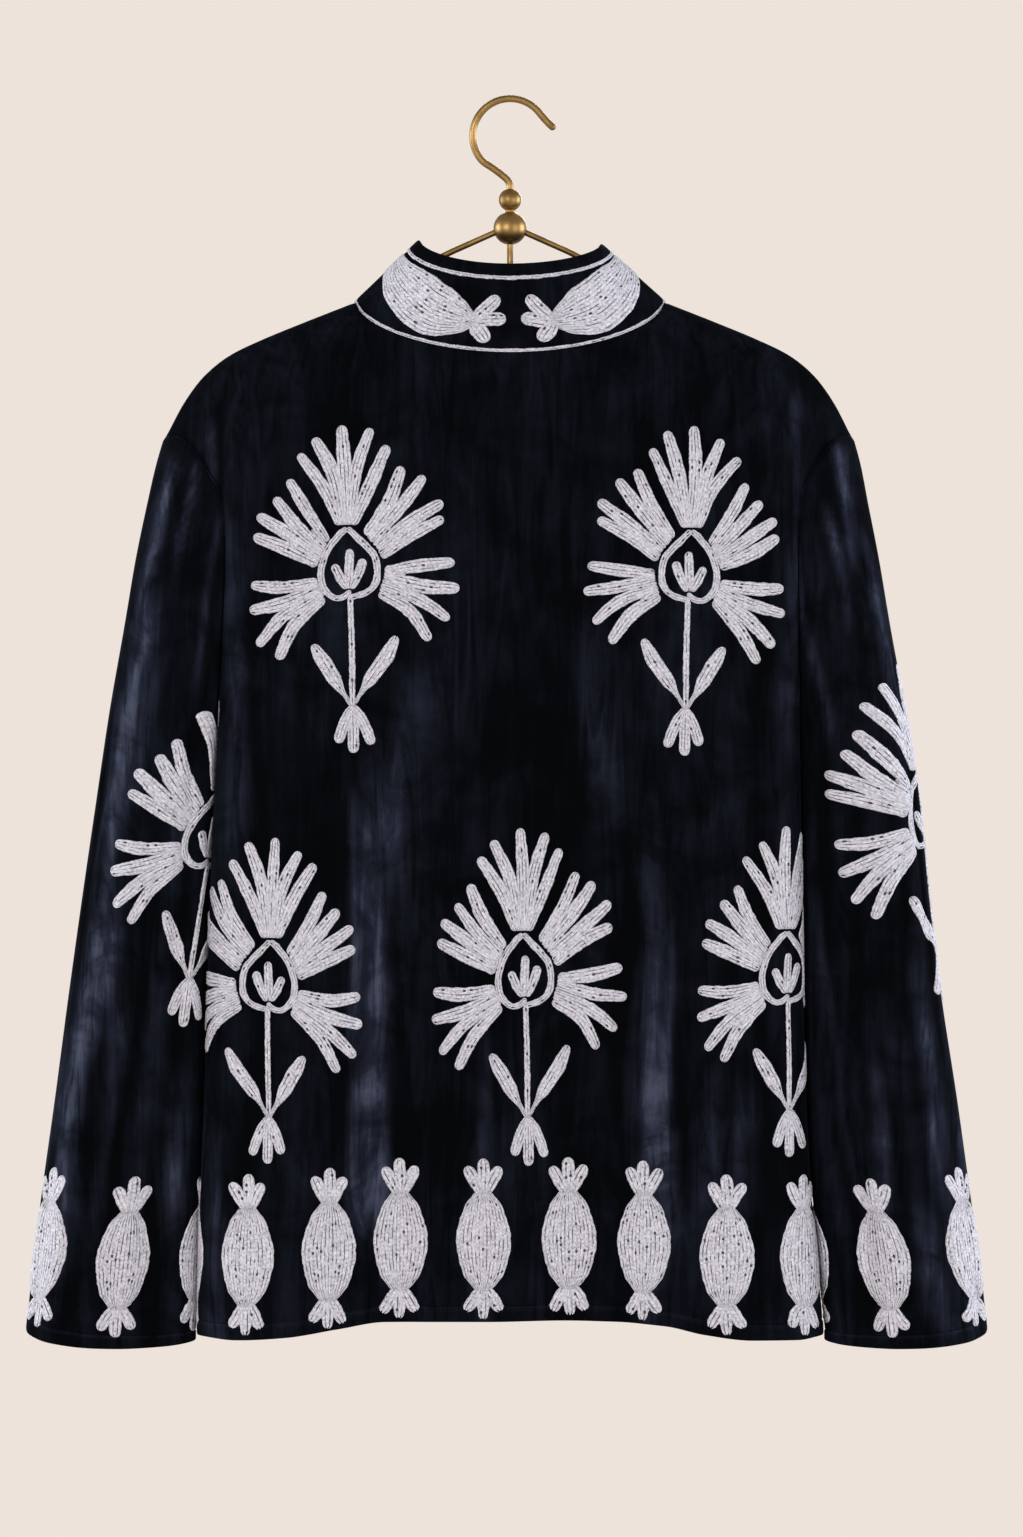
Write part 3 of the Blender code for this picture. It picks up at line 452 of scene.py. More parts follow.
def sleeve_grid(side, strength):
    """Middle surface of a sleeve, with its nap and painted sheen, from the armhole down to the cuff.

    Each section is a flat oval between the sleeve's outer and inner edges. The sections
    swing down from the outline's own heights, and the armhole's ring fades into them.
    Column 0 is the outer edge, and the columns go over the back to the inner edge.
    """
    half_count = 50
    hole = armhole_edge(side, half_count)
    turn = np.linspace(0.0, 2.0 * math.pi, 2 * half_count, endpoint=False)
    marks = lower_marks(SHOULDER, CUFF_OUTER, 124)
    along = (marks - SHOULDER) / (CUFF_OUTER - SHOULDER)

    swing = along + SLEEVE_SWING * along * (1.0 - along) ** 4
    outer_drop = SHOULDER + (CUFF_OUTER - SHOULDER) * along
    inner_drop = UNDERARM + (CUFF_INNER - UNDERARM) * swing
    outer = curve_through(outer_drop, OUTLINE[:, 0], OUTLINE[:, 3 if side < 0 else 4])
    opens = smooth((inner_drop - TOUCH_ENDS) / (CLEAR_FROM - TOUCH_ENDS))
    clear = SLEEVE_TOUCH + (SLEEVE_CLEAR - SLEEVE_TOUCH) * opens
    inner = curve_through(inner_drop, OUTLINE[:, 0], OUTLINE[:, 1 if side < 0 else 2]) + clear
    half_depth = SLEEVE_DEPTH_TOP + (SLEEVE_DEPTH_CUFF - SLEEVE_DEPTH_TOP) * along

    lean = ((1.0 + np.cos(turn)) / 2.0) ** SLEEVE_LEAN
    reach = inner[:, None] + (outer - inner)[:, None] * lean
    drop = inner_drop[:, None] + (outer_drop - inner_drop)[:, None] * lean
    sine = np.sin(turn)
    depth = half_depth[:, None] * np.sign(sine) * np.abs(sine) ** 0.8
    sag = np.where(sine > 0.0, CUFF_SAG_BACK, CUFF_SAG_FRONT)
    drop = drop + sag * np.abs(sine) * along[:, None] ** 2
    degrees = np.degrees(turn)
    for at, width, stands_out, begins in SLEEVE_FOLDS:
        bump = np.exp(-((degrees - at) / width) ** 2) * np.sign(sine)
        depth = depth + stands_out * bump * smooth((along - begins) / 0.4)[:, None]
    fine = creases(degrees[None, :] + 0.0 * drop, drop, SLEEVE_CREASES)
    fine = fine + ripples(200.0 * np.sin(turn)[None, :], drop, 23 + side, 0.5)
    flat = np.clip(np.abs(sine) * 3.0, 0.0, 1.0)[None, :]
    depth = depth + np.sign(sine) * fine * flat * smooth((along - 0.05) / 0.2)[:, None] * strength

    round_hole = np.concatenate([hole, hole[-2:0:-1]])
    facing = np.where(turn <= math.pi + 1e-6, -1.0, 1.0)
    ring = np.stack([side * round_hole[:, 1], facing * round_hole[:, 2], -round_hole[:, 0]], axis=1)
    next_to = smooth((round_hole[:, 0] - BESIDE_FROM) / (BESIDE_BY - BESIDE_FROM))
    ring[:, 0] += side * (SEAM_GAP * (1.0 - next_to) + SLEEVE_TOUCH * next_to)

    grid = np.stack([side * reach, -depth, -drop], axis=2)
    fade = 1.0 - smooth(along / SLEEVE_HEAD)
    grid = grid + fade[:, None, None] * (ring - grid[0])
    # Painted sheen: the velvet's colour is lightened on crease ridges and in the sleeve's shine streaks
    painted_shine = LEFT_SLEEVE_PAINTED_SHINE if side < 0 else RIGHT_SLEEVE_PAINTED_SHINE
    down = -grid[..., 2]
    edge = curve_through(down, OUTLINE[:, 0], OUTLINE[:, 3 if side < 0 else 4])
    nap_with_painted_sheen = painted_sheen_field(edge - side * grid[..., 0], down, fine, painted_shine)
    to_hem = (CUFF_OUTER - marks)[:, None] + 0.0 * drop
    return grid, nap_with_painted_sheen, to_hem


def collar_grid(rows):
    """Middle surface of the stand collar, from centre front round the back.

    The lower ring is the neckline, the upper ring is shorter and higher, and each
    point between them moves straight from one to the other.
    """
    turn = np.linspace(-math.pi, math.pi, 193)
    behind = np.abs(turn) <= math.pi / 2.0
    face = np.abs(np.cos(turn))
    rise = rows[:, None]
    falls = face ** np.where(behind, NECK_BACK_CURVE, NECK_FRONT_CURVE)
    low = NECK_SIDE + falls * np.where(behind, NECK_BACK - NECK_SIDE, NECK_FRONT - NECK_SIDE)
    edge = COLLAR_SIDE + COLLAR_TILT * np.sin(turn)
    top = edge + falls * (np.where(behind, COLLAR_BACK, COLLAR_FRONT) - edge)
    low_depth = -np.cos(turn) * np.where(behind, NECK_BACK_DEPTH, NECK_FRONT_DEPTH)
    top_depth = -np.cos(turn) * np.where(behind, COLLAR_BACK_DEPTH, COLLAR_FRONT_DEPTH)
    x = np.sin(turn) * (NECK_HALF + (COLLAR_TOP_HALF - NECK_HALF) * rise)
    y = low_depth + (top_depth - low_depth) * rise
    drop = low + (top - low) * rise
    wave = 0.8 * np.sin(3.0 * turn + 2.5 * rise) * np.sin(math.pi * rise)
    wave = wave + 0.5 * np.sin(7.0 * turn + 1.3) * rise
    y = y + np.sign(y) * wave * np.minimum(1.0, 3.0 * face)
    return np.stack([x, y, -drop], axis=2)


def cells(rows, columns, closed=True):
    """Point numbers at the four corners of each cell of a grid, in order round the cell."""
    spans = columns if closed else columns - 1
    r, c = np.meshgrid(np.arange(rows - 1), np.arange(spans), indexing="ij")
    here = (r * columns + c).ravel()
    beside = (r * columns + (c + 1) % columns).ravel()
    return np.stack([here, beside, beside + columns, here + columns], axis=1)


def shell_faces(rows, columns, closed):
    """Quads of a closed wall: the outer skin, the inner skin and the rims between them."""
    outer = cells(rows, columns, closed)
    count = rows * columns
    c = np.arange(columns if closed else columns - 1)
    n = (c + 1) % columns
    last = (rows - 1) * columns
    faces = [outer, outer[:, ::-1] + count, np.stack([c, c + count, n + count, n], axis=1),
             np.stack([last + n, last + n + count, last + c + count, last + c], axis=1)]
    if not closed:
        r = np.arange(rows - 1) * columns
        k = r + columns - 1
        faces.append(np.stack([r + columns, r + columns + count, r + count, r], axis=1))
        faces.append(np.stack([k, k + count, k + columns + count, k + columns], axis=1))
    return np.concatenate(faces).tolist()


def bar_faces(shapes, turn):
    """Faces of closed bars one after another, each a stack of rings with capped ends."""
    faces, first = [], 0
    for rows, columns in shapes:
        ring = np.arange(columns)[::turn]
        faces += (cells(rows, columns)[:, turn * np.arange(4)] + first).tolist()
        faces += [(ring[::-1] + first).tolist(), (ring + first + (rows - 1) * columns).tolist()]
        first += rows * columns
    return faces


def mesh_object(name, points, faces, material, nap_with_painted_sheen=None, uv=None):
    """Mesh object from arrays in millimetres, smooth, with its nap and painted sheen and its stitch map."""
    mesh = bpy.data.meshes.new(name)
    mesh.from_pydata((points * MM).tolist(), [], faces)
    mesh.shade_smooth()
    mesh.materials.append(material)
    if nap_with_painted_sheen is not None:
        mesh.attributes.new("nap_with_painted_sheen", "FLOAT", "POINT").data.foreach_set("value", nap_with_painted_sheen.ravel().astype(np.float32))
    if uv is not None:
        corner = np.empty(len(mesh.loops), dtype=np.int32)
        mesh.loops.foreach_get("vertex_index", corner)
        layer = mesh.uv_layers.new(name="stitches")
        layer.data.foreach_set("uv", uv[corner].ravel().astype(np.float32))
    mesh.validate()
    piece = bpy.data.objects.new(name, mesh)
    bpy.context.scene.collection.objects.link(piece)
    return piece


def hem_finish(points, normals, to_hem):
    """Lets the hem's stitched line sink in and the turned-up edge below it stand out."""
    line = -0.9 * np.exp(-((to_hem - STITCH_ABOVE_HEM) / 0.8) ** 2)
    turned_up = 0.45 * (1.0 - smooth((to_hem - STITCH_ABOVE_HEM + 1.0) / 1.5)) * smooth(to_hem / 2.5)
    return points + normals * (line + turned_up)[..., None]


def edge_distance(points, closed):
    """How far each point lies from the grid's nearest open edge but its last row, mm."""
    down = np.linalg.norm(np.diff(points, axis=0), axis=2)
    nearest = np.concatenate([np.zeros((1, points.shape[1])), np.cumsum(down, axis=0)])
    if not closed:
        across = np.linalg.norm(np.diff(points, axis=1), axis=2)
        zero = np.zeros((points.shape[0], 1))
        from_left = np.concatenate([zero, np.cumsum(across, axis=1)], axis=1)
        nearest = np.minimum(nearest, np.minimum(from_left, from_left[:, -1:] - from_left))
    return nearest


def cloth_shell(name, points, to_hem, nap_with_painted_sheen, closed, thickness, material):
    """Thin closed wall of cloth whose seams sink in and whose hem is rounded.

    Returns the piece and its outer skin without the hem's stitched line, with normals,
    on which the stitching lies.
    """
    normals = grid_normals(points, closed)
    seam = edge_distance(points, closed)
    points = points - normals * (0.9 * np.exp(-(seam / 2.2) ** 2))[..., None]
    plain = grid_normals(points, closed)
    skin = points + plain * (thickness / 2.0)
    points = hem_finish(points, plain, to_hem)
    # Painted highlight: the velvet's colour is lightened along the turned-up edge just below the hem's
    # stitched line
    nap_with_painted_sheen = nap_with_painted_sheen + 0.22 * np.exp(-((to_hem - STITCH_ABOVE_HEM + 1.2) / 1.0) ** 2)
    normals = grid_normals(points, closed)
    half = np.full(seam.shape, thickness / 2.0)
    half *= 0.3 + 0.7 * smooth(seam / 1.6)
    near = np.clip(1.0 - to_hem / (thickness / 2.0), 0.0, 1.0)
    half *= np.maximum(np.sqrt(1.0 - near ** 2), 0.15)
    outer = points + normals * half[..., None]
    inner = points - normals * half[..., None]
    rows, columns = seam.shape
    skins = np.concatenate([outer.reshape(-1, 3), inner.reshape(-1, 3)])
    piece = mesh_object(name, skins, shell_faces(rows, columns, closed), material,
                        nap_with_painted_sheen=np.concatenate([nap_with_painted_sheen.ravel(), nap_with_painted_sheen.ravel()]))
    return piece, skin, plain


def sample(field, r, c):
    """Value of a grid's field between its points, weighed from the four round each place."""
    i = np.clip(np.floor(r).astype(int), 0, field.shape[0] - 2)
    j = np.clip(np.floor(c).astype(int), 0, field.shape[1] - 2)
    f, g = r - i, c - j
    if field.ndim == 3:
        f, g = f[..., None], g[..., None]
    return ((field[i, j] * (1 - g) + field[i, j + 1] * g) * (1 - f)
            + (field[i + 1, j] * (1 - g) + field[i + 1, j + 1] * g) * f)


def chart(outer, normals, girth, drop):
    """Map of a cloth piece: its skin, and each point's place round and drop, mm."""
    rising = np.sign(drop[-1, 0] - drop[0, 0]), np.sign(girth[-1, -1] - girth[-1, 0])
    return {"outer": outer, "normals": normals, "girth": girth, "drop": drop, "rising": rising,
            "slopes": [np.gradient(girth, axis=0), np.gradient(girth, axis=1),
                       np.gradient(drop, axis=0), np.gradient(drop, axis=1)]}


def lay_on(skin, girth, drop, height):
    """Places chart points on the skin: Newton's steps find the grid place of each."""
    rows, columns = skin["girth"].shape
    r, c = [np.interp(rising * wanted, rising * marks, np.arange(marks.size, dtype=float))
            for wanted, marks, rising in ((drop, skin["drop"].mean(axis=1), skin["rising"][0]),
                                          (girth, skin["girth"].mean(axis=0), skin["rising"][1]))]
    for longest in 12.0 * 0.8 ** np.arange(20):
        miss_g = girth - sample(skin["girth"], r, c)
        miss_d = drop - sample(skin["drop"], r, c)
        g_r, g_c, d_r, d_c = [sample(field, r, c) for field in skin["slopes"]]
        det = g_r * d_c - g_c * d_r
        det = np.where(np.abs(det) < 1e-6, 1e-6, det)
        step_r = (miss_g * d_c - miss_d * g_c) / det
        step_c = (g_r * miss_d - d_r * miss_g) / det
        r = np.clip(r + np.clip(step_r, -longest, longest), 0, rows - 1.001)
        c = np.clip(c + np.clip(step_c, -longest, longest), 0, columns - 1.001)
    normal = sample(skin["normals"], r, c)
    normal = normal / np.linalg.norm(normal, axis=-1, keepdims=True)
    return sample(skin["outer"], r, c) + normal * height[..., None]


def run_round(points, start):
    """Distance round each row as seen from above, from column start."""
    step = np.hypot(np.diff(points[..., 0], axis=1), np.diff(points[..., 1], axis=1))
    run = np.concatenate([np.zeros((points.shape[0], 1)), np.cumsum(step, axis=1)], axis=1)
    return run - run[:, start:start + 1]


def body_charts(back, fronts):
    """Maps of the back and the fronts that share one measure round from centre back.

    A front's own measure starts at its side seam and goes on from where the back's ends.
    """
    charts = {}
    outer, normals = back
    run = run_round(outer, outer.shape[1] // 2)
    charts["back"] = chart(outer, normals, run, -outer[..., 2])
    for side in (-1, 1):
        outer, normals = fronts[side]
        end, back_end = (0, 0) if side < 0 else (outer.shape[1] - 1, run.shape[1] - 1)
        seam = np.interp(-outer[:, end, 2], -back[0][:, back_end, 2], run[:, back_end])
        charts[side] = chart(outer, normals, seam[:, None] - run_round(outer, end), -outer[..., 2])
    charts["edges"] = -back[0][:, 0, 2], run[:, 0], run[:, -1]
    return charts


def lay_on_body(charts, girth, drop, height):
    """Places chart points on the back, or past a side seam on that side's front."""
    drops, left, right = charts["edges"]
    points = lay_on(charts["back"], girth, drop, height)
    over_left = girth < np.interp(drop, drops, left)
    over_right = girth > np.interp(drop, drops, right)
    for side, over in ((-1, over_left), (1, over_right)):
        if over.any():
            points[over] = lay_on(charts[side], girth[over], drop[over], height[over])
    return points


def stroke(points, halves, rows, length_step=1.6, height=1.15):
    """Chart grid of one stitched stroke: its places, heights and stitch map.

    A smooth line runs through the points, and the stroke spreads to its half width on
    both sides with round ends. Across it, ridges and grooves are rows of chain stitch,
    and along it each row dips unevenly between its links. The last columns go back
    under the stroke, just below the cloth.
    """
    points = np.asarray(points, dtype=float)
    halves = np.asarray(halves, dtype=float)
    chord = np.concatenate([[0.0], np.cumsum(np.linalg.norm(np.diff(points, axis=0), axis=1))])
    length, tip = chord[-1] + halves[-1] * 0.5, halves[-1]
    base = halves[0]
    turns = np.linspace(0.25, math.pi / 2.0, 5)
    middle = np.arange(base, length - tip, length_step)[1:]
    at = np.concatenate([base * (1.0 - np.cos(turns)), middle, length - tip + tip * np.cos(turns[::-1])])
    line = np.stack([curve_through(at, chord, points[:, k], False) for k in (0, 1)], axis=1)
    beyond = np.clip(at - chord[-1], 0.0, None)
    ahead = points[-1] - points[-2]
    line = line + (ahead / np.linalg.norm(ahead))[None, :] * beyond[:, None]
    half = curve_through(at, chord, halves)
    end = np.minimum(np.sqrt(np.clip(1.0 - np.clip(1.0 - at / base, 0, 1) ** 2, 0, 1)),
                     np.sqrt(np.clip(1.0 - np.clip((at - length + tip) / tip, 0, 1) ** 2, 0, 1)))
    along = np.gradient(line, axis=0)
    along /= np.linalg.norm(along, axis=1, keepdims=True)
    sideways = np.stack([-along[:, 1], along[:, 0]], axis=1)

    count = 2 * rows + 1
    v = np.linspace(-1.0, 1.0, count)
    knots = np.arange(0.0, length + 4.0, 3.1)
    shaky = np.random.default_rng(len(at)).normal(0.0, 0.22, (2, len(knots)))
    left, right = [np.interp(at, knots, row) * end for row in shaky]
    spread = (half * end)[:, None] * v[None, :]
    spread = spread + np.where(v < 0.0, left[:, None], right[:, None]) * v[None, :] ** 2
    places = line[:, None, :] + sideways[:, None, :] * spread[..., None]
    index = np.arange(count)
    ridge = (index % 2 == 1).astype(float)
    profile = np.where(ridge > 0, 1.0, 0.50)
    if rows > 6:
        profile[[2, -3]] = 0.15
    profile[0] = profile[-1] = -0.35
    uneven = np.random.default_rng(count).random((2, len(at), count))
    in_step = (np.arange(len(at))[:, None] + np.round(uneven[0, :1])) % 2
    link = in_step * 0.20 + uneven[1] * 0.16
    level = height * (profile[None, :] - link * (0.4 + 0.6 * ridge[None, :]))
    level = np.where(profile[None, :] > 0, level * end[:, None] ** 0.6 - 0.25 * (1.0 - end[:, None]), level)
    uv = np.stack([np.broadcast_to(at[:, None] / (2.0 * length_step), level.shape),
                   np.broadcast_to(index[None, :] / 2.0, level.shape)], axis=2)
    back = np.linspace(1.0, -1.0, rows // 2 + 3)[1:-1]
    under = line[:, None, :] + sideways[:, None, :] * (half * end)[:, None, None] * back[None, :, None]
    places = np.concatenate([places, under], axis=1)
    level = np.concatenate([level, np.full(under.shape[:2], -0.45)], axis=1)
    uv = np.concatenate([uv, np.zeros(under.shape)], axis=1)
    return places, level, uv


def stitched(name, strokes, place, skin):
    """One piece of many strokes, each a closed bar whose foot lies just under the cloth."""
    girth = np.concatenate([s[0][..., 0].ravel() for s in strokes])
    drop = np.concatenate([s[0][..., 1].ravel() for s in strokes])
    height = np.concatenate([s[1].ravel() for s in strokes])
    uv = np.concatenate([s[2].reshape(-1, 2) + (STITCH_SHIFT * n, 0.0) for n, s in enumerate(strokes)])
    faces = bar_faces([s[1].shape for s in strokes], -1)
    piece = mesh_object(name, place(skin, girth, drop, height), faces, made["thread"], uv=uv)
    return settled(outward(piece), "embroidery")


def moved(strokes, girth, drop, wide=1.0, tall=1.0, mirror=1, lean=0.0):
    """The same strokes scaled, slanted and moved on the chart."""
    out = []
    for places, level, uv in strokes:
        x = places[..., 0] * wide * mirror
        y = places[..., 1] * tall
        new = np.stack([girth + x, drop + y + lean * x], axis=2)
        if mirror < 0:
            new, level, uv = new[:, ::-1], level[:, ::-1], uv[:, ::-1]
        out.append((new, level, uv))
    return out


def flower_strokes(draw):
    """Strokes of one flower, each a little different from the last flower's."""
    out, petals = [], []
    for petal in PETALS:
        points = np.array(petal, dtype=float)
        points[1:] += draw.normal(0.0, 0.8, (2, 2))
        petals.append(points)
        halves = np.array(PETAL_HALF) * draw.uniform(0.94, 1.10)
        out.append(stroke(points, halves, 4, length_step=1.75))
    first = 0
    for count in PETAL_FANS:
        for one, other in zip(petals[first:first + count - 1], petals[first + 1:first + count]):
            between = (one[:2] + other[:2]) / 2.0
            filler = (between[0], 0.75 * between[0] + 0.25 * between[1], (between[0] + between[1]) / 2.0)
            out.append(stroke(filler, FILLER_HALF, 2, length_step=2.0, height=1.0))
        first += count
    for side in (HEART_LEFT, HEART_RIGHT):
        out.append(stroke(side, [2.3] + [2.9] * 4 + [2.5, 2.5, 2.2], 3, height=1.3))
    for petal in BUD:
        out.append(stroke(petal, (2.2, 3.9, 3.6), 3))
    out.append(stroke(STEM, (2.6, 2.6, 2.6), 2, height=1.3))
    for leaf in LEAVES:
        out.append(stroke(leaf, LEAF_HALF, 4))
    for root in ROOTS:
        out.append(stroke(root, (2.6, 4.6, 4.4), 4))
    return out


def bulb_strokes(draw):
    """Strokes of one bulb: an almond body, a crown of three lobes and a foot of three."""
    out = []
    for lobe in BULB_CROWN + BULB_FOOT:
        points = np.array(lobe, dtype=float)
        points[1:] += draw.normal(0.0, 0.5, (2, 2))
        out.append(stroke(points, LOBE_HALF, 3))
    out.append(stroke(BULB_BODY, BULB_HALF, BULB_ROWS, height=1.3))
    return out


def collar_bulb(draw, reach, side, front):
    """Strokes of one bulb on the collar, its lobes towards centre back or centre front."""
    out = []
    for lobe in COLLAR_LOBES:
        points = np.array(lobe, dtype=float) + draw.normal(0.0, 0.4, (3, 2))
        out.append((points, COLLAR_LOBE_HALF, 4))
    out.append((np.array(COLLAR_BULB, dtype=float), COLLAR_BULB_HALF, BULB_ROWS))
    strokes = []
    for points, halves, rows in out:
        place = COLLAR_CENTRE + side * points[:, 0]
        if front:
            place = side * (reach - COLLAR_FRONT_SHARE * points[:, 0])
        strokes.append(stroke(np.stack([place, -points[:, 1]], axis=1), halves, rows, height=1.3))
    return strokes


def node_tree(name):
    """New material with its Principled shader, and short ways to add and join nodes."""
    material = bpy.data.materials.new(name)
    material.use_nodes = True
    tree = material.node_tree
    shader = tree.nodes["Principled BSDF"]
    link = tree.links.new

    def add(kind, **values):
        node = tree.nodes.new(kind)
        for key, value in values.items():
            if key in node.inputs:
                node.inputs[key].default_value = value
            else:
                setattr(node, key, value)
        return node

    def maths(operation, *values):
        """Math node with sockets or numbers as its inputs."""
        node = add("ShaderNodeMath", operation=operation)
        for socket, value in zip(node.inputs, values):
            if isinstance(value, (int, float)):
                socket.default_value = value
            else:
                link(value, socket)
        return node.outputs[0]

    def ramped(value, source, target):
        """Map Range node that carries a value from one range to another, held at its ends."""
        node = add("ShaderNodeMapRange", **{"From Min": source[0], "From Max": source[1],
                                            "To Min": target[0], "To Max": target[1]})
        link(value, node.inputs["Value"])
        return node.outputs[0]

    return material, shader, add, link, maths, ramped


def velvet_material(look):
    """Cut-pile velvet: painted sheen lightens its colour in long uneven streaks broken up by nap noise, with
    fine pile and a soft sheen.
    """
    material, shader, add, link, maths, ramped = node_tree("midnight_velvet")
    where = add("ShaderNodeTexCoord").outputs["Object"]

    stretched = add("ShaderNodeMapping", Scale=(1.0, 1.0, 0.11))
    link(where, stretched.inputs["Vector"])
    streaks = add("ShaderNodeTexNoise", Scale=85.0, Detail=5.0, Roughness=0.62, Distortion=1.2)
    link(stretched.outputs[0], streaks.inputs["Vector"])
    patches = add("ShaderNodeTexNoise", Scale=21.0, Detail=5.0, Roughness=0.62, Distortion=0.8)
    link(where, patches.inputs["Vector"])
    nap_with_painted_sheen = add("ShaderNodeAttribute", attribute_name="nap_with_painted_sheen").outputs["Fac"]

    streaky = ramped(streaks.outputs[0], (0.34, 0.66), (0.25, 1.0))
    clouds = ramped(patches.outputs[0], (0.36, 0.64), (0.35, 1.0))
    crossed = maths("MULTIPLY", streaky, clouds)
    # Painted sheen: the nap attribute, broken up by streak and patch noise, sets how far the colour is
    # lightened
    sheen_paint_amount = maths("MULTIPLY", crossed, maths("ADD", nap_with_painted_sheen, 0.06))
    # Painted highlight: the ramp runs from the deep velvet colour to the painted lit and bright colours
    ramp = add("ShaderNodeValToRGB")
    steps = ramp.color_ramp.elements
    steps[0].position, steps[0].color = 0.03, (*look.velvet_deep, 1.0)
    steps[1].position, steps[1].color = 0.95, (*look.velvet_painted_bright, 1.0)
    lit = steps.new(0.40)
    lit.color = (*look.velvet_painted_lit, 1.0)
    link(sheen_paint_amount, ramp.inputs[0])
    link(ramp.outputs[0], shader.inputs["Base Color"])
    link(ramped(sheen_paint_amount, (0.1, 0.7), (0.95, 0.7)), shader.inputs["Roughness"])
    shader.inputs["Specular IOR Level"].default_value = 0.03
    shader.inputs["Sheen Weight"].default_value = 0.045
    shader.inputs["Sheen Roughness"].default_value = 0.3
    shader.inputs["Sheen Tint"].default_value = (0.40, 0.50, 0.75, 1.0)

    pile = add("ShaderNodeTexNoise", Scale=1900.0, Detail=2.0)
    link(where, pile.inputs["Vector"])
    crush = add("ShaderNodeTexNoise", Scale=150.0, Detail=3.0, Distortion=0.5)
    link(stretched.outputs[0], crush.inputs["Vector"])
    fine = add("ShaderNodeBump", Strength=0.35, Distance=0.0005)
    link(pile.outputs[0], fine.inputs["Height"])
    broad = add("ShaderNodeBump", Strength=0.45, Distance=0.0012)
    link(crush.outputs[0], broad.inputs["Height"])
    link(fine.outputs[0], broad.inputs["Normal"])
    link(broad.outputs[0], shader.inputs["Normal"])
    return material


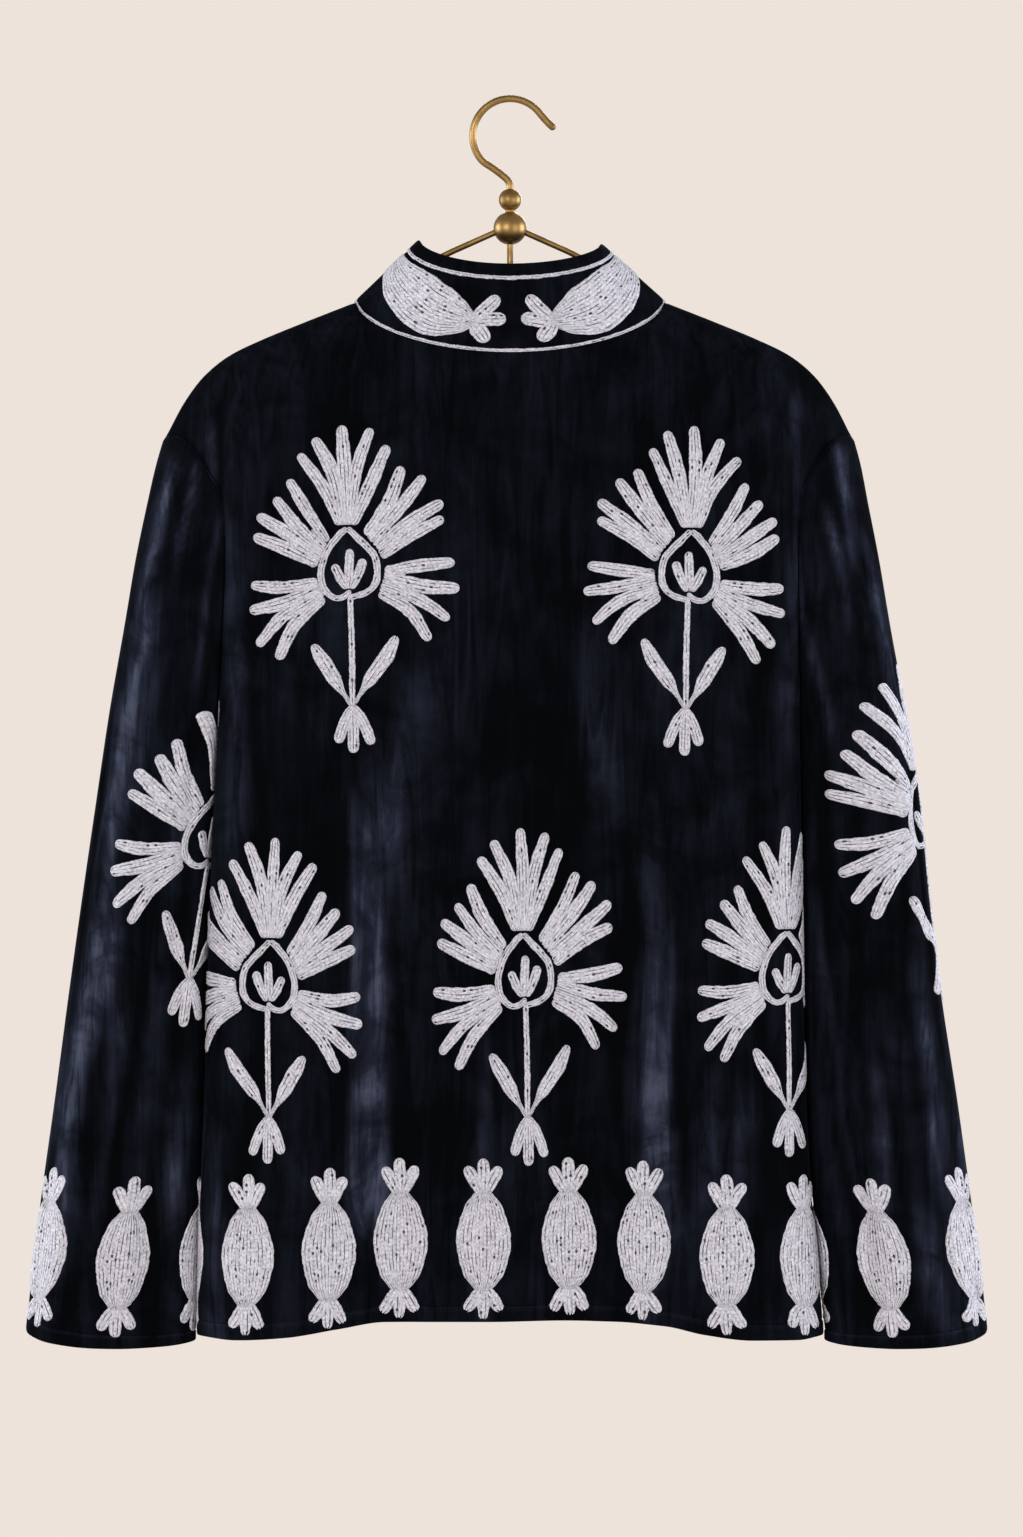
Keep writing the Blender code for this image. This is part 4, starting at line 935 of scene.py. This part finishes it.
def thread_material(look):
    """Rows of chain stitch: V-shaped links in pale thread, with painted shade between rows, between links and
    in a few pits, and velvet seen through open gaps.
    """
    material, shader, add, link, maths, ramped = node_tree("chain_stitch_thread")
    split = add("ShaderNodeSeparateXYZ")
    link(add("ShaderNodeUVMap", uv_map="stitches").outputs[0], split.inputs[0])
    along, over = split.outputs["X"], split.outputs["Y"]
    where = add("ShaderNodeTexCoord").outputs["Object"]

    off_ridge = maths("ABSOLUTE", maths("SUBTRACT", maths("FRACT", over), 0.5))
    row = maths("FLOOR", over)
    own_row = add("ShaderNodeTexWhiteNoise", noise_dimensions="1D")
    link(row, own_row.inputs["W"])
    slanted = maths("MULTIPLY_ADD", off_ridge, 0.9, maths("ADD", along, own_row.outputs["Value"]))
    link_edge = maths("ABSOLUTE", maths("SUBTRACT", maths("FRACT", slanted), 0.5))

    groove_place = add("ShaderNodeCombineXYZ")
    link(maths("MULTIPLY", along, 0.42), groove_place.inputs[0])
    link(maths("MULTIPLY", maths("ROUND", over), 3.7), groove_place.inputs[1])
    part = add("ShaderNodeVectorMath", operation="ADD")
    link(groove_place.outputs[0], part.inputs[0])
    link(where, part.inputs[1])
    dashes = add("ShaderNodeTexNoise", Scale=1.0, Detail=3.0, Roughness=0.7)
    link(part.outputs[0], dashes.inputs["Vector"])
    # Painted shade: the grooves between rows darken, fully where a gap opens onto the velvet
    open_gap = ramped(dashes.outputs[0], (0.47, 0.56), (0.22, 1.0))
    groove = ramped(off_ridge, (0.30, 0.46), (0.0, 1.0))
    gap = maths("MULTIPLY", groove, open_gap)
    # Painted shade along the edges between links
    loose = add("ShaderNodeTexNoise", Scale=330.0, Detail=2.0)
    link(where, loose.inputs["Vector"])
    joint = maths("MULTIPLY", ramped(link_edge, (0.36, 0.50), (0.0, 0.9)),
                  ramped(loose.outputs[0], (0.46, 0.62), (0.1, 1.0)))
    # Painted shade: small dark pits beside the ridges at a few links
    gap_row = maths("ROUND", over)
    own_gap = add("ShaderNodeTexWhiteNoise", noise_dimensions="1D")
    link(gap_row, own_gap.inputs["W"])
    cell = maths("MULTIPLY_ADD", along, 0.62, own_gap.outputs["Value"])
    hole_place = add("ShaderNodeCombineXYZ")
    link(maths("FLOOR", cell), hole_place.inputs[0])
    link(gap_row, hole_place.inputs[1])
    chosen = add("ShaderNodeTexWhiteNoise", noise_dimensions="2D")
    link(hole_place.outputs[0], chosen.inputs["Vector"])
    from_middle = maths("ABSOLUTE", maths("SUBTRACT", maths("FRACT", cell), 0.5))
    near_middle = ramped(from_middle, (0.16, 0.26), (1.0, 0.0))
    beside_ridge = ramped(off_ridge, (0.16, 0.26), (0.0, 1.0))
    picked = maths("GREATER_THAN", chosen.outputs["Value"], 0.91)
    hole = maths("MULTIPLY", picked, maths("MULTIPLY", near_middle, beside_ridge))
    painted_shade_and_gaps = maths("MAXIMUM", maths("MAXIMUM", gap, joint), hole)

    worn_place = add("ShaderNodeCombineXYZ")
    link(maths("MULTIPLY", along, 0.9), worn_place.inputs[0])
    link(maths("MULTIPLY", over, 2.1), worn_place.inputs[1])
    wear = add("ShaderNodeTexNoise", Scale=1.0, Detail=4.0, Roughness=0.75)
    worn = add("ShaderNodeVectorMath", operation="MULTIPLY_ADD")
    link(where, worn.inputs[0])
    worn.inputs[1].default_value = (40.0, 40.0, 40.0)
    link(worn_place.outputs[0], worn.inputs[2])
    link(worn.outputs[0], wear.inputs["Vector"])
    tone = add("ShaderNodeMix", data_type="RGBA")
    tone.inputs[6].default_value = (*look.thread_light, 1.0)
    tone.inputs[7].default_value = (*look.thread_shade, 1.0)
    link(ramped(wear.outputs[0], (0.40, 0.62), (0.0, 1.0)), tone.inputs[0])
    # The painted shade and the gaps take the gap colour
    mixed = add("ShaderNodeMix", data_type="RGBA")
    link(painted_shade_and_gaps, mixed.inputs[0])
    link(tone.outputs[2], mixed.inputs[6])
    mixed.inputs[7].default_value = (*look.thread_gap_and_shade, 1.0)
    link(mixed.outputs[2], shader.inputs["Base Color"])
    shader.inputs["Roughness"].default_value = 0.78
    shader.inputs["Specular IOR Level"].default_value = 0.3
    shader.inputs["Sheen Weight"].default_value = 0.15
    shader.inputs["Sheen Roughness"].default_value = 0.5

    twist = add("ShaderNodeTexNoise", Scale=1400.0, Detail=2.0)
    link(where, twist.inputs["Vector"])
    level = maths("MULTIPLY_ADD", twist.outputs[0], 0.5, maths("SUBTRACT", 0.5, link_edge))
    bump = add("ShaderNodeBump", Strength=0.6, Distance=0.0009)
    link(level, bump.inputs["Height"])
    link(bump.outputs[0], shader.inputs["Normal"])
    return material


def brass_material(look):
    """Aged satin brass: warm metal with faint drawn lines, darker and duller in patches."""
    material, shader, add, link, _, ramped = node_tree("aged_satin_brass")
    where = add("ShaderNodeTexCoord").outputs["Object"]
    age = add("ShaderNodeTexNoise", Scale=70.0, Detail=2.0, Roughness=0.5)
    link(where, age.inputs["Vector"])
    ramp = add("ShaderNodeValToRGB")
    ramp.color_ramp.elements[0].position = 0.35
    ramp.color_ramp.elements[0].color = (*look.brass_dark, 1.0)
    ramp.color_ramp.elements[1].position = 0.62
    ramp.color_ramp.elements[1].color = (*look.brass_bright, 1.0)
    link(age.outputs[0], ramp.inputs[0])
    link(ramp.outputs[0], shader.inputs["Base Color"])
    shader.inputs["Metallic"].default_value = 1.0
    link(ramped(age.outputs[0], (0.3, 0.7), (0.48, 0.38)), shader.inputs["Roughness"])
    scratch = add("ShaderNodeTexNoise", Scale=1500.0, Detail=3.0)
    link(where, scratch.inputs["Vector"])
    bump = add("ShaderNodeBump", Strength=0.03, Distance=0.0002)
    link(scratch.outputs[0], bump.inputs["Height"])
    link(bump.outputs[0], shader.inputs["Normal"])
    return material


def swept(path, radius, sides=20):
    """Round bar along a path in the hanger's plane, with domed ends.

    Each ring stands square to the path, and over the last radius at both ends the
    rings shrink as a quarter round.
    """
    path = np.asarray(path, dtype=float)
    steps = np.linalg.norm(np.diff(path, axis=0), axis=1)
    run = np.concatenate([[0.0], np.cumsum(steps)])
    dome = radius * (1.0 - np.cos(np.linspace(0.2, math.pi / 2.0, 5)))
    inner = np.arange(radius, run[-1] - radius, 1.6)[1:]
    at = np.concatenate([dome, inner, run[-1] - dome[::-1]])
    line = np.stack([curve_through(at, run, path[:, k], False) for k in range(2)], axis=1)
    ends = np.minimum(at, run[-1] - at) / radius
    size = radius * np.sqrt(1.0 - np.clip(1.0 - ends, 0.0, 1.0) ** 2)
    along = np.gradient(line, axis=0)
    along /= np.linalg.norm(along, axis=1, keepdims=True)
    side = np.stack([-along[:, 1], along[:, 0]], axis=1)
    angle = np.linspace(0.0, 2.0 * math.pi, sides, endpoint=False)
    x = line[:, 0:1] + side[:, 0:1] * size[:, None] * np.cos(angle)
    z = line[:, 1:2] + side[:, 1:2] * size[:, None] * np.cos(angle)
    y = size[:, None] * np.sin(angle) + 0.0 * x
    return np.stack([x, y, z], axis=2)


def turned(profile, sides=40):
    """Solid of revolution round the hanger's stem, from a profile of radius and height."""
    profile = np.asarray(profile, dtype=float)
    angle = np.linspace(0.0, 2.0 * math.pi, sides, endpoint=False)
    x = profile[:, 0:1] * np.cos(angle)
    y = profile[:, 0:1] * np.sin(angle)
    return np.stack([x, y, profile[:, 1:2] + 0.0 * x], axis=2)


def arc(radius, middle, first, last, count):
    """Arc round a middle on the hanger's stem, between two turns in degrees: x and height."""
    turn = np.radians(np.linspace(first, last, count))
    return np.stack([radius * np.cos(turn), middle + radius * np.sin(turn)], axis=1)


def brass_piece(name, rings, node):
    """One brass bar or turned solid, a stack of rings with capped ends."""
    faces = bar_faces([rings.shape[:2]], 1)
    return settled(outward(mesh_object(name, rings.reshape(-1, 3), faces, made["brass"])), "brass", node)


def outward(piece):
    """Turns a closed mesh's faces outward where its volume comes out negative."""
    mesh = piece.data
    mesh.calc_loop_triangles()
    corners = np.empty(len(mesh.loop_triangles) * 3, dtype=np.int32)
    mesh.loop_triangles.foreach_get("vertices", corners)
    place = np.empty(len(mesh.vertices) * 3)
    mesh.vertices.foreach_get("co", place)
    a, b, c = np.moveaxis(place.reshape(-1, 3)[corners.reshape(-1, 3)], 1, 0)
    if np.sum(a * np.cross(b, c)) < 0.0:
        mesh.flip_normals()
    return piece


def colour_setting(name, description, default):
    """Colour setting."""
    return FloatVectorProperty(name=name, description=description, default=default, subtype="COLOR")


def length_setting(name, description, default):
    """Length setting in metres."""
    return FloatProperty(name=name, description=description, default=default, unit="LENGTH")


class JacketCloth(bpy.types.PropertyGroup):
    """Sizes and colours of the velvet."""

    thickness: length_setting("Thickness", "Thickness of the lined velvet", 0.0018)
    collar_thickness: length_setting("Collar Thickness", "Thickness of the stand collar", 0.0024)
    creasing: FloatProperty(
        name="Creasing", description="Strength of the soft creases", default=1.0, subtype="FACTOR")
    velvet_deep: colour_setting("Deep Nap", "Velvet where the pile faces away", (0.0010, 0.0013, 0.0020))
    # Painted highlight colours: the velvet lightened where light falls on its folds and streaks
    velvet_painted_lit: colour_setting("Brushed Nap", "Velvet where the pile is brushed over", (0.013, 0.016, 0.029))
    velvet_painted_bright: colour_setting("Bright Nap", "Velvet where the pile is brightest", (0.050, 0.058, 0.092))


class JacketThread(bpy.types.PropertyGroup):
    """Colours of the embroidery thread."""

    thread_light: colour_setting("Thread", "Top of each link", (0.74, 0.72, 0.80))
    thread_shade: colour_setting("Thread Shade", "Worn and shaded thread", (0.42, 0.41, 0.47))
    # Painted shade colour of grooves, link edges and pits, and of velvet seen between rows
    thread_gap_and_shade: colour_setting("Gap", "Velvet seen between rows", (0.03, 0.03, 0.038))


class JacketHanger(bpy.types.PropertyGroup):
    """Colours of the brass hanger."""

    brass_bright: colour_setting("Brass", "Rubbed brass", (0.36, 0.225, 0.085))
    brass_dark: colour_setting("Aged Brass", "Darkened brass", (0.24, 0.145, 0.05))


class JacketStage(bpy.types.PropertyGroup):
    """Camera, floor and light."""

    distance: length_setting("Camera Distance", "From the camera to the jacket", 9.0)
    background: colour_setting("Background", "Warm off-white surroundings", (0.847, 0.768, 0.701))


made = {}


def settled(piece, slot, *nodes):
    """A piece rides on the one body and stands for its nodes; its slot is not used."""
    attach(piece, "root")
    if nodes:
        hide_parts(*nodes)
    return piece


class JACKET_OT_body(bpy.types.Operator):
    """Make the velvet back and the two fronts"""

    bl_idname = "jacket.body"
    bl_label = "Back and Fronts"

    def execute(self, context):
        cloth = context.scene.jacket_cloth
        made["velvet"] = velvet_material(cloth)
        wall = cloth.thickness / MM
        points, nap_with_painted_sheen, to_hem = body_grid(-1, cloth.creasing)
        points, nap_with_painted_sheen, to_hem = points[:, ::-1], nap_with_painted_sheen[:, ::-1], to_hem[:, ::-1]
        points = open_edges(points, -1, (0, -1))
        back, outer, normals = cloth_shell("back_velvet", points, to_hem, nap_with_painted_sheen, False, wall, made["velvet"])
        settled(back, "velvet", "back")
        made["back_skin"] = outer[:, ::-1], normals[:, ::-1]
        points, nap_with_painted_sheen, to_hem = body_grid(1, cloth.creasing)
        middle = points.shape[1] // 2
        fronts = {}
        for name, side, part in (("front_left", -1, slice(0, middle + 1)),
                                 ("front_right", 1, slice(middle, None))):
            own = points[:, part].copy()
            own[:, -1 if side < 0 else 0, 0] = side * SEAM_GAP / 2.0
            own = open_edges(own, 1, (0 if side < 0 else -1,))
            piece, outer, normals = cloth_shell(
                name + "_velvet", own, to_hem[:, part], nap_with_painted_sheen[:, part], False, wall, made["velvet"])
            settled(piece, "velvet", name)
            fronts[side] = outer, normals
        made["charts"] = body_charts(made["back_skin"], fronts)
        return {"FINISHED"}


def open_edges(points, facing, sides):
    """Moves the shoulder and side edges half a seam's gap to their own side of the plane."""
    points = points.copy()
    gap = facing * SEAM_GAP / 2.0
    shoulder = np.abs(points[0, :, 0]) > NECK_HALF - 0.01
    points[0, shoulder, 1] = gap
    for column in sides:
        flat = np.abs(points[:, column, 1]) < SEAM_GAP / 2.0
        points[flat, column, 1] = gap
    return points


class JACKET_OT_sleeves(bpy.types.Operator):
    """Make the two velvet sleeves"""

    bl_idname = "jacket.sleeves"
    bl_label = "Sleeves"

    def execute(self, context):
        cloth = context.scene.jacket_cloth
        for name, side in (("sleeve_left", -1), ("sleeve_right", 1)):
            points, nap_with_painted_sheen, to_hem = sleeve_grid(side, cloth.creasing)
            if side < 0:
                points, nap_with_painted_sheen = points[:, ::-1], nap_with_painted_sheen[:, ::-1]
            piece, outer, normals = cloth_shell(
                name + "_velvet", points, to_hem, nap_with_painted_sheen, True, cloth.thickness / MM, made["velvet"])
            settled(piece, "velvet", name)
            if side < 0:
                outer, normals = outer[:, ::-1], normals[:, ::-1]
            twice = np.concatenate([outer, outer, outer[:, :1]], axis=1)
            run = run_round(twice, outer.shape[1])
            made[name] = chart(twice, np.concatenate([normals, normals, normals[:, :1]], axis=1),
                               run, -twice[..., 2])
        return {"FINISHED"}


class JACKET_OT_collar(bpy.types.Operator):
    """Make the velvet stand collar"""

    bl_idname = "jacket.collar"
    bl_label = "Stand Collar"

    def execute(self, context):
        cloth = context.scene.jacket_cloth
        rise = 1.0 - np.concatenate([np.linspace(0.0, 0.028, 7), np.linspace(0.05, 0.97, 24), [0.985, 0.995]])
        rows = np.sort(rise)
        points = collar_grid(rows)
        height = np.linalg.norm(points[-1] - points[0], axis=1)
        to_top = (1.0 - rows)[:, None] * height[None, :]
        nap_with_painted_sheen = 0.10 + 0.06 * np.sin(points[..., 0] / 17.0) * np.sin(points[..., 2] / 13.0)
        piece, outer, normals = cloth_shell(
            "collar_velvet", points, to_top, nap_with_painted_sheen, False, cloth.collar_thickness / MM, made["velvet"])
        settled(piece, "velvet", "collar")
        middle = outer[len(rows) // 2:len(rows) // 2 + 1]
        girth = np.repeat(run_round(middle, outer.shape[1] // 2), len(rows), axis=0)
        made["collar"] = chart(outer, normals, girth, -rows[:, None] * height[None, :])
        made["collar_height"] = girth[0], height
        return {"FINISHED"}


class JACKET_OT_flowers(bpy.types.Operator):
    """Stitch the flowers on the body and the sleeves"""

    bl_idname = "jacket.flowers"
    bl_label = "Flowers"

    def execute(self, context):
        made["thread"] = thread_material(context.scene.jacket_thread)
        draw = np.random.default_rng(5)
        for name, flowers in (("flowers_back_upper", BODY_FLOWERS[:2]),
                              ("flowers_back_lower", BODY_FLOWERS[2:]),
                              ("flowers_front", FRONT_FLOWERS)):
            strokes = []
            for girth, drop, wide, tall, mirror in flowers:
                strokes += moved(flower_strokes(draw), girth, drop, wide, tall, mirror)
            stitched(name, strokes, lay_on_body, made["charts"])
        for name, side in (("sleeve_left", -1), ("sleeve_right", 1)):
            skin = made[name]
            inner_edge = skin["girth"].shape[1] // 4
            row = np.argmin(np.abs(skin["drop"][:, 0] - SLEEVE_MEASURED_AT))
            half_round = skin["girth"][row, skin["girth"].shape[1] // 2 + inner_edge]
            girth, drop, wide = LEFT_SLEEVE_FLOWER if side < 0 else RIGHT_SLEEVE_FLOWER
            if side < 0:
                girth = half_round - girth
            flower = flower_strokes(draw)
            flower = moved(flower, girth, drop, wide, SLEEVE_FLOWER_TALL, -side, SLEEVE_FLOWER_LEAN)
            stitched("flower_" + name, flower, lay_on, skin)
        return {"FINISHED"}


class JACKET_OT_bulbs(bpy.types.Operator):
    """Stitch the row of bulbs along the hem and the cuffs"""

    bl_idname = "jacket.bulbs"
    bl_label = "Bulbs along the Hems"

    def execute(self, context):
        draw = np.random.default_rng(9)
        back = made["charts"]["back"]
        strokes = []
        for girth, above in HEM_BULBS:
            place = math.copysign(min(abs(girth), 2.0 * HALF_ROUND - abs(girth)), girth)
            hem = np.interp(place, back["girth"][-1], back["drop"][-1])
            strokes += moved(bulb_strokes(draw), girth, hem - above - BULB_FOOT_REACH, 1.0, BULB_TALL)
        stitched("bulbs_hem", strokes, lay_on_body, made["charts"])
        for name, places in (("sleeve_left", LEFT_CUFF_BULBS), ("sleeve_right", RIGHT_CUFF_BULBS)):
            skin = made[name]
            middle = skin["girth"].shape[1] // 2
            whole = skin["girth"][-1, -1]
            strokes = []
            for girth in places:
                column = np.interp(girth % whole, skin["girth"][-1, middle:], np.arange(middle + 1))
                edge = np.interp(column, np.arange(middle + 1), skin["drop"][-1, middle:])
                drop = edge - CUFF_BULB_LIFT - BULB_FOOT_REACH
                strokes += moved(bulb_strokes(draw), girth, drop, 1.0, BULB_TALL)
            stitched("bulbs_" + name, strokes, lay_on, skin)
        return {"FINISHED"}


class JACKET_OT_collar_work(bpy.types.Operator):
    """Stitch the bulbs and the two lines on the collar"""

    bl_idname = "jacket.collar_work"
    bl_label = "Collar Stitching"

    def execute(self, context):
        draw = np.random.default_rng(3)
        girth, height = made["collar_height"]
        reach = girth[-1]
        strokes = []
        for side in (-1, 1):
            for front in (False, True):
                strokes += collar_bulb(draw, reach, side, front)
        at = np.linspace(girth[0] + LINE_INSET, girth[-1] - LINE_INSET, 60)
        for share_up in COLLAR_LINES:
            line = np.stack([at, -share_up * np.interp(at, girth, height)], axis=1)
            strokes.append(stroke(line, np.full(60, 1.6), 2, height=1.2))
        stitched("collar_stitching", strokes, lay_on, made["collar"])
        return {"FINISHED"}


class JACKET_OT_hanger(bpy.types.Operator):
    """Make the brass hanger: hook, turned balls, shoulder bars, crossbar and post"""

    bl_idname = "jacket.hanger"
    bl_label = "Wire Hanger"

    def execute(self, context):
        made["brass"] = brass_material(context.scene.jacket_hanger)
        loop = arc(HOOK_BEND, HOOK_WIRE - HOOK_BEND, *HOOK_TURNS, 40)
        hook = swept(np.concatenate([HOOK_TIP, loop, HOOK_STEM]), HOOK_WIRE)
        brass_piece("hook_brass", hook, "hanger_hook")
        small, large = arc(*SMALL_BALL, 89.0, -66.0, 24), arc(*LARGE_BALL, 74.0, -89.0, 30)
        brass_piece("turned_balls_brass", turned(np.concatenate([small, [BALL_NECK], large])), "hanger_balls")
        for name, side in (("left", -1), ("right", 1)):
            bar = swept(shoulder_bar(side), BAR_WIRE)
            brass_piece("shoulder_bar_" + name + "_brass", bar, "hanger_bar_" + name)
        end, low = shoulder_bar(1)[-1]
        across = np.linspace(CROSSBAR_INSET - end, end - CROSSBAR_INSET, 9)
        cross = swept(np.stack([across, np.full(9, low)], axis=1), BAR_WIRE)
        brass_piece("crossbar_brass", cross, "hanger_crossbar")
        upright = np.linspace(POST_TOP, low + POST_ABOVE, 5)
        post = swept(np.stack([np.zeros(5), upright], axis=1), BAR_WIRE)
        brass_piece("post_brass", post, "hanger_post")
        return {"FINISHED"}


def bar_height(x):
    """Height of the bar's middle just under the shoulder seam."""
    return -np.interp(x, SHOULDER_LINE[:, 0], SHOULDER_LINE[:, 1]) - BAR_UNDER_SEAM


def shoulder_bar(side):
    """Path of a sloping bar, bent round at its end to the crossbar: x and height."""
    line = [*BAR_TOP, (153.0, bar_height(153.0)), (180.0, bar_height(180.0))]
    end_z = bar_height(BAR_END)
    slope = math.atan2(line[-1][1] - end_z, BAR_END - line[-1][0])
    centre_x, centre_z = BAR_END - BAR_BEND * math.sin(slope), end_z - BAR_BEND * math.cos(slope)
    for angle in np.linspace(math.pi / 2.0 - slope, -math.pi / 2.0, 14):
        line.append((centre_x + BAR_BEND * math.cos(angle), centre_z + BAR_BEND * math.sin(angle)))
    line.append((centre_x - 8.0, centre_z - BAR_BEND))
    return np.array([(side * x, z) for x, z in line])


class JACKET_OT_stage(bpy.types.Operator):
    """Set the camera, the pale floor and the soft light"""

    bl_idname = "jacket.stage"
    bl_label = "Stage"

    def execute(self, context):
        look = context.scene.jacket_stage
        lens = bpy.data.cameras.new("photo_camera")
        lens.sensor_fit = "VERTICAL"
        lens.sensor_height = lens.sensor_width = SENSOR
        lens.lens = SENSOR * (look.distance - CLOTH_NEAR) / FRAME_TALL
        lens.clip_end = 60.0
        camera = bpy.data.objects.new("photo_camera", lens)
        camera.location = Vector(LOOK_AT) + Vector((0.0, -look.distance, 0.0))
        camera.rotation_euler = (math.pi / 2.0, 0.0, 0.0)
        context.scene.collection.objects.link(camera)
        context.scene.camera = camera

        material, shader, add, link, _, _ = node_tree("pale_floor")
        grain = add("ShaderNodeTexNoise", Scale=3.0, Detail=4.0)
        ramp = add("ShaderNodeValToRGB")
        ramp.color_ramp.elements[0].color = (0.74, 0.68, 0.62, 1.0)
        ramp.color_ramp.elements[1].color = (0.78, 0.72, 0.66, 1.0)
        link(add("ShaderNodeTexCoord").outputs["Object"], grain.inputs["Vector"])
        link(grain.outputs[0], ramp.inputs[0])
        link(ramp.outputs[0], shader.inputs["Base Color"])
        shader.inputs["Roughness"].default_value = 0.9
        turn = np.linspace(0.0, 2.0 * math.pi, 96, endpoint=False)
        rim = np.stack([FLOOR_REACH * np.cos(turn), FLOOR_REACH * np.sin(turn),
                        np.full(96, FLOOR_HEIGHT)], axis=1)
        floor = mesh_object("floor", rim, [list(range(96))], material)

        world = bpy.data.worlds.new("studio")
        world.use_nodes = True
        tree = world.node_tree
        seen = tree.nodes["Background"]
        seen.inputs["Color"].default_value = (*look.background, 1.0)
        seen.inputs["Strength"].default_value = 1.0
        cast = tree.nodes.new("ShaderNodeBackground")
        cast.inputs["Color"].default_value = (1.0, 0.96, 0.92, 1.0)
        cast.inputs["Strength"].default_value = 0.42
        path = tree.nodes.new("ShaderNodeLightPath")
        mix = tree.nodes.new("ShaderNodeMixShader")
        tree.links.new(path.outputs["Is Camera Ray"], mix.inputs[0])
        tree.links.new(cast.outputs[0], mix.inputs[1])
        tree.links.new(seen.outputs[0], mix.inputs[2])
        tree.links.new(mix.outputs[0], tree.nodes["World Output"].inputs["Surface"])
        context.scene.world = world

        for name, place, size_across, power, tint in LAMPS:
            light = bpy.data.lights.new(name, "AREA")
            light.shape = "DISK"
            light.size = size_across
            light.energy = power
            light.color = tint
            lamp = bpy.data.objects.new(name, light)
            lamp.location = place
            lamp.visible_camera = False
            lamp.rotation_euler = (Vector(LAMPS_FACE) - Vector(place)).to_track_quat("-Z", "Y").to_euler()
            context.scene.collection.objects.link(lamp)
        context.scene.view_settings.view_transform = "Standard"
        return {"FINISHED"}


class JACKET_PT_panel(bpy.types.Panel):
    """Sizes, colours and steps of the jacket"""

    bl_idname = "JACKET_PT_panel"
    bl_label = "Jacket"
    bl_space_type = "VIEW_3D"
    bl_region_type = "UI"
    bl_category = "Jacket"

    def draw(self, context):
        for group in (context.scene.jacket_cloth, context.scene.jacket_thread,
                      context.scene.jacket_hanger, context.scene.jacket_stage):
            column = self.layout.column()
            for key in group.bl_rna.properties.keys():
                if key not in ("rna_type", "name"):
                    column.prop(group, key)
        for step in STEPS:
            self.layout.operator(step.bl_idname)


STEPS = (JACKET_OT_body, JACKET_OT_sleeves, JACKET_OT_collar, JACKET_OT_flowers, JACKET_OT_bulbs,
         JACKET_OT_collar_work, JACKET_OT_hanger, JACKET_OT_stage)
GROUPS = {"jacket_cloth": JacketCloth, "jacket_thread": JacketThread, "jacket_hanger": JacketHanger,
          "jacket_stage": JacketStage}
CLASSES = (*GROUPS.values(), *STEPS, JACKET_PT_panel)


def register():
    """Register the classes and hang the settings on the scene."""
    for item in CLASSES:
        bpy.utils.register_class(item)
    for key, group in GROUPS.items():
        setattr(bpy.types.Scene, key, PointerProperty(type=group))


def unregister():
    """Take the settings and the classes away again."""
    for key in GROUPS:
        delattr(bpy.types.Scene, key)
    for item in reversed(CLASSES):
        bpy.utils.unregister_class(item)


def main():
    register()
    for step in STEPS:
        space, action = step.bl_idname.split(".")
        getattr(getattr(bpy.ops, space), action)()


if __name__ == "__main__":
    main()
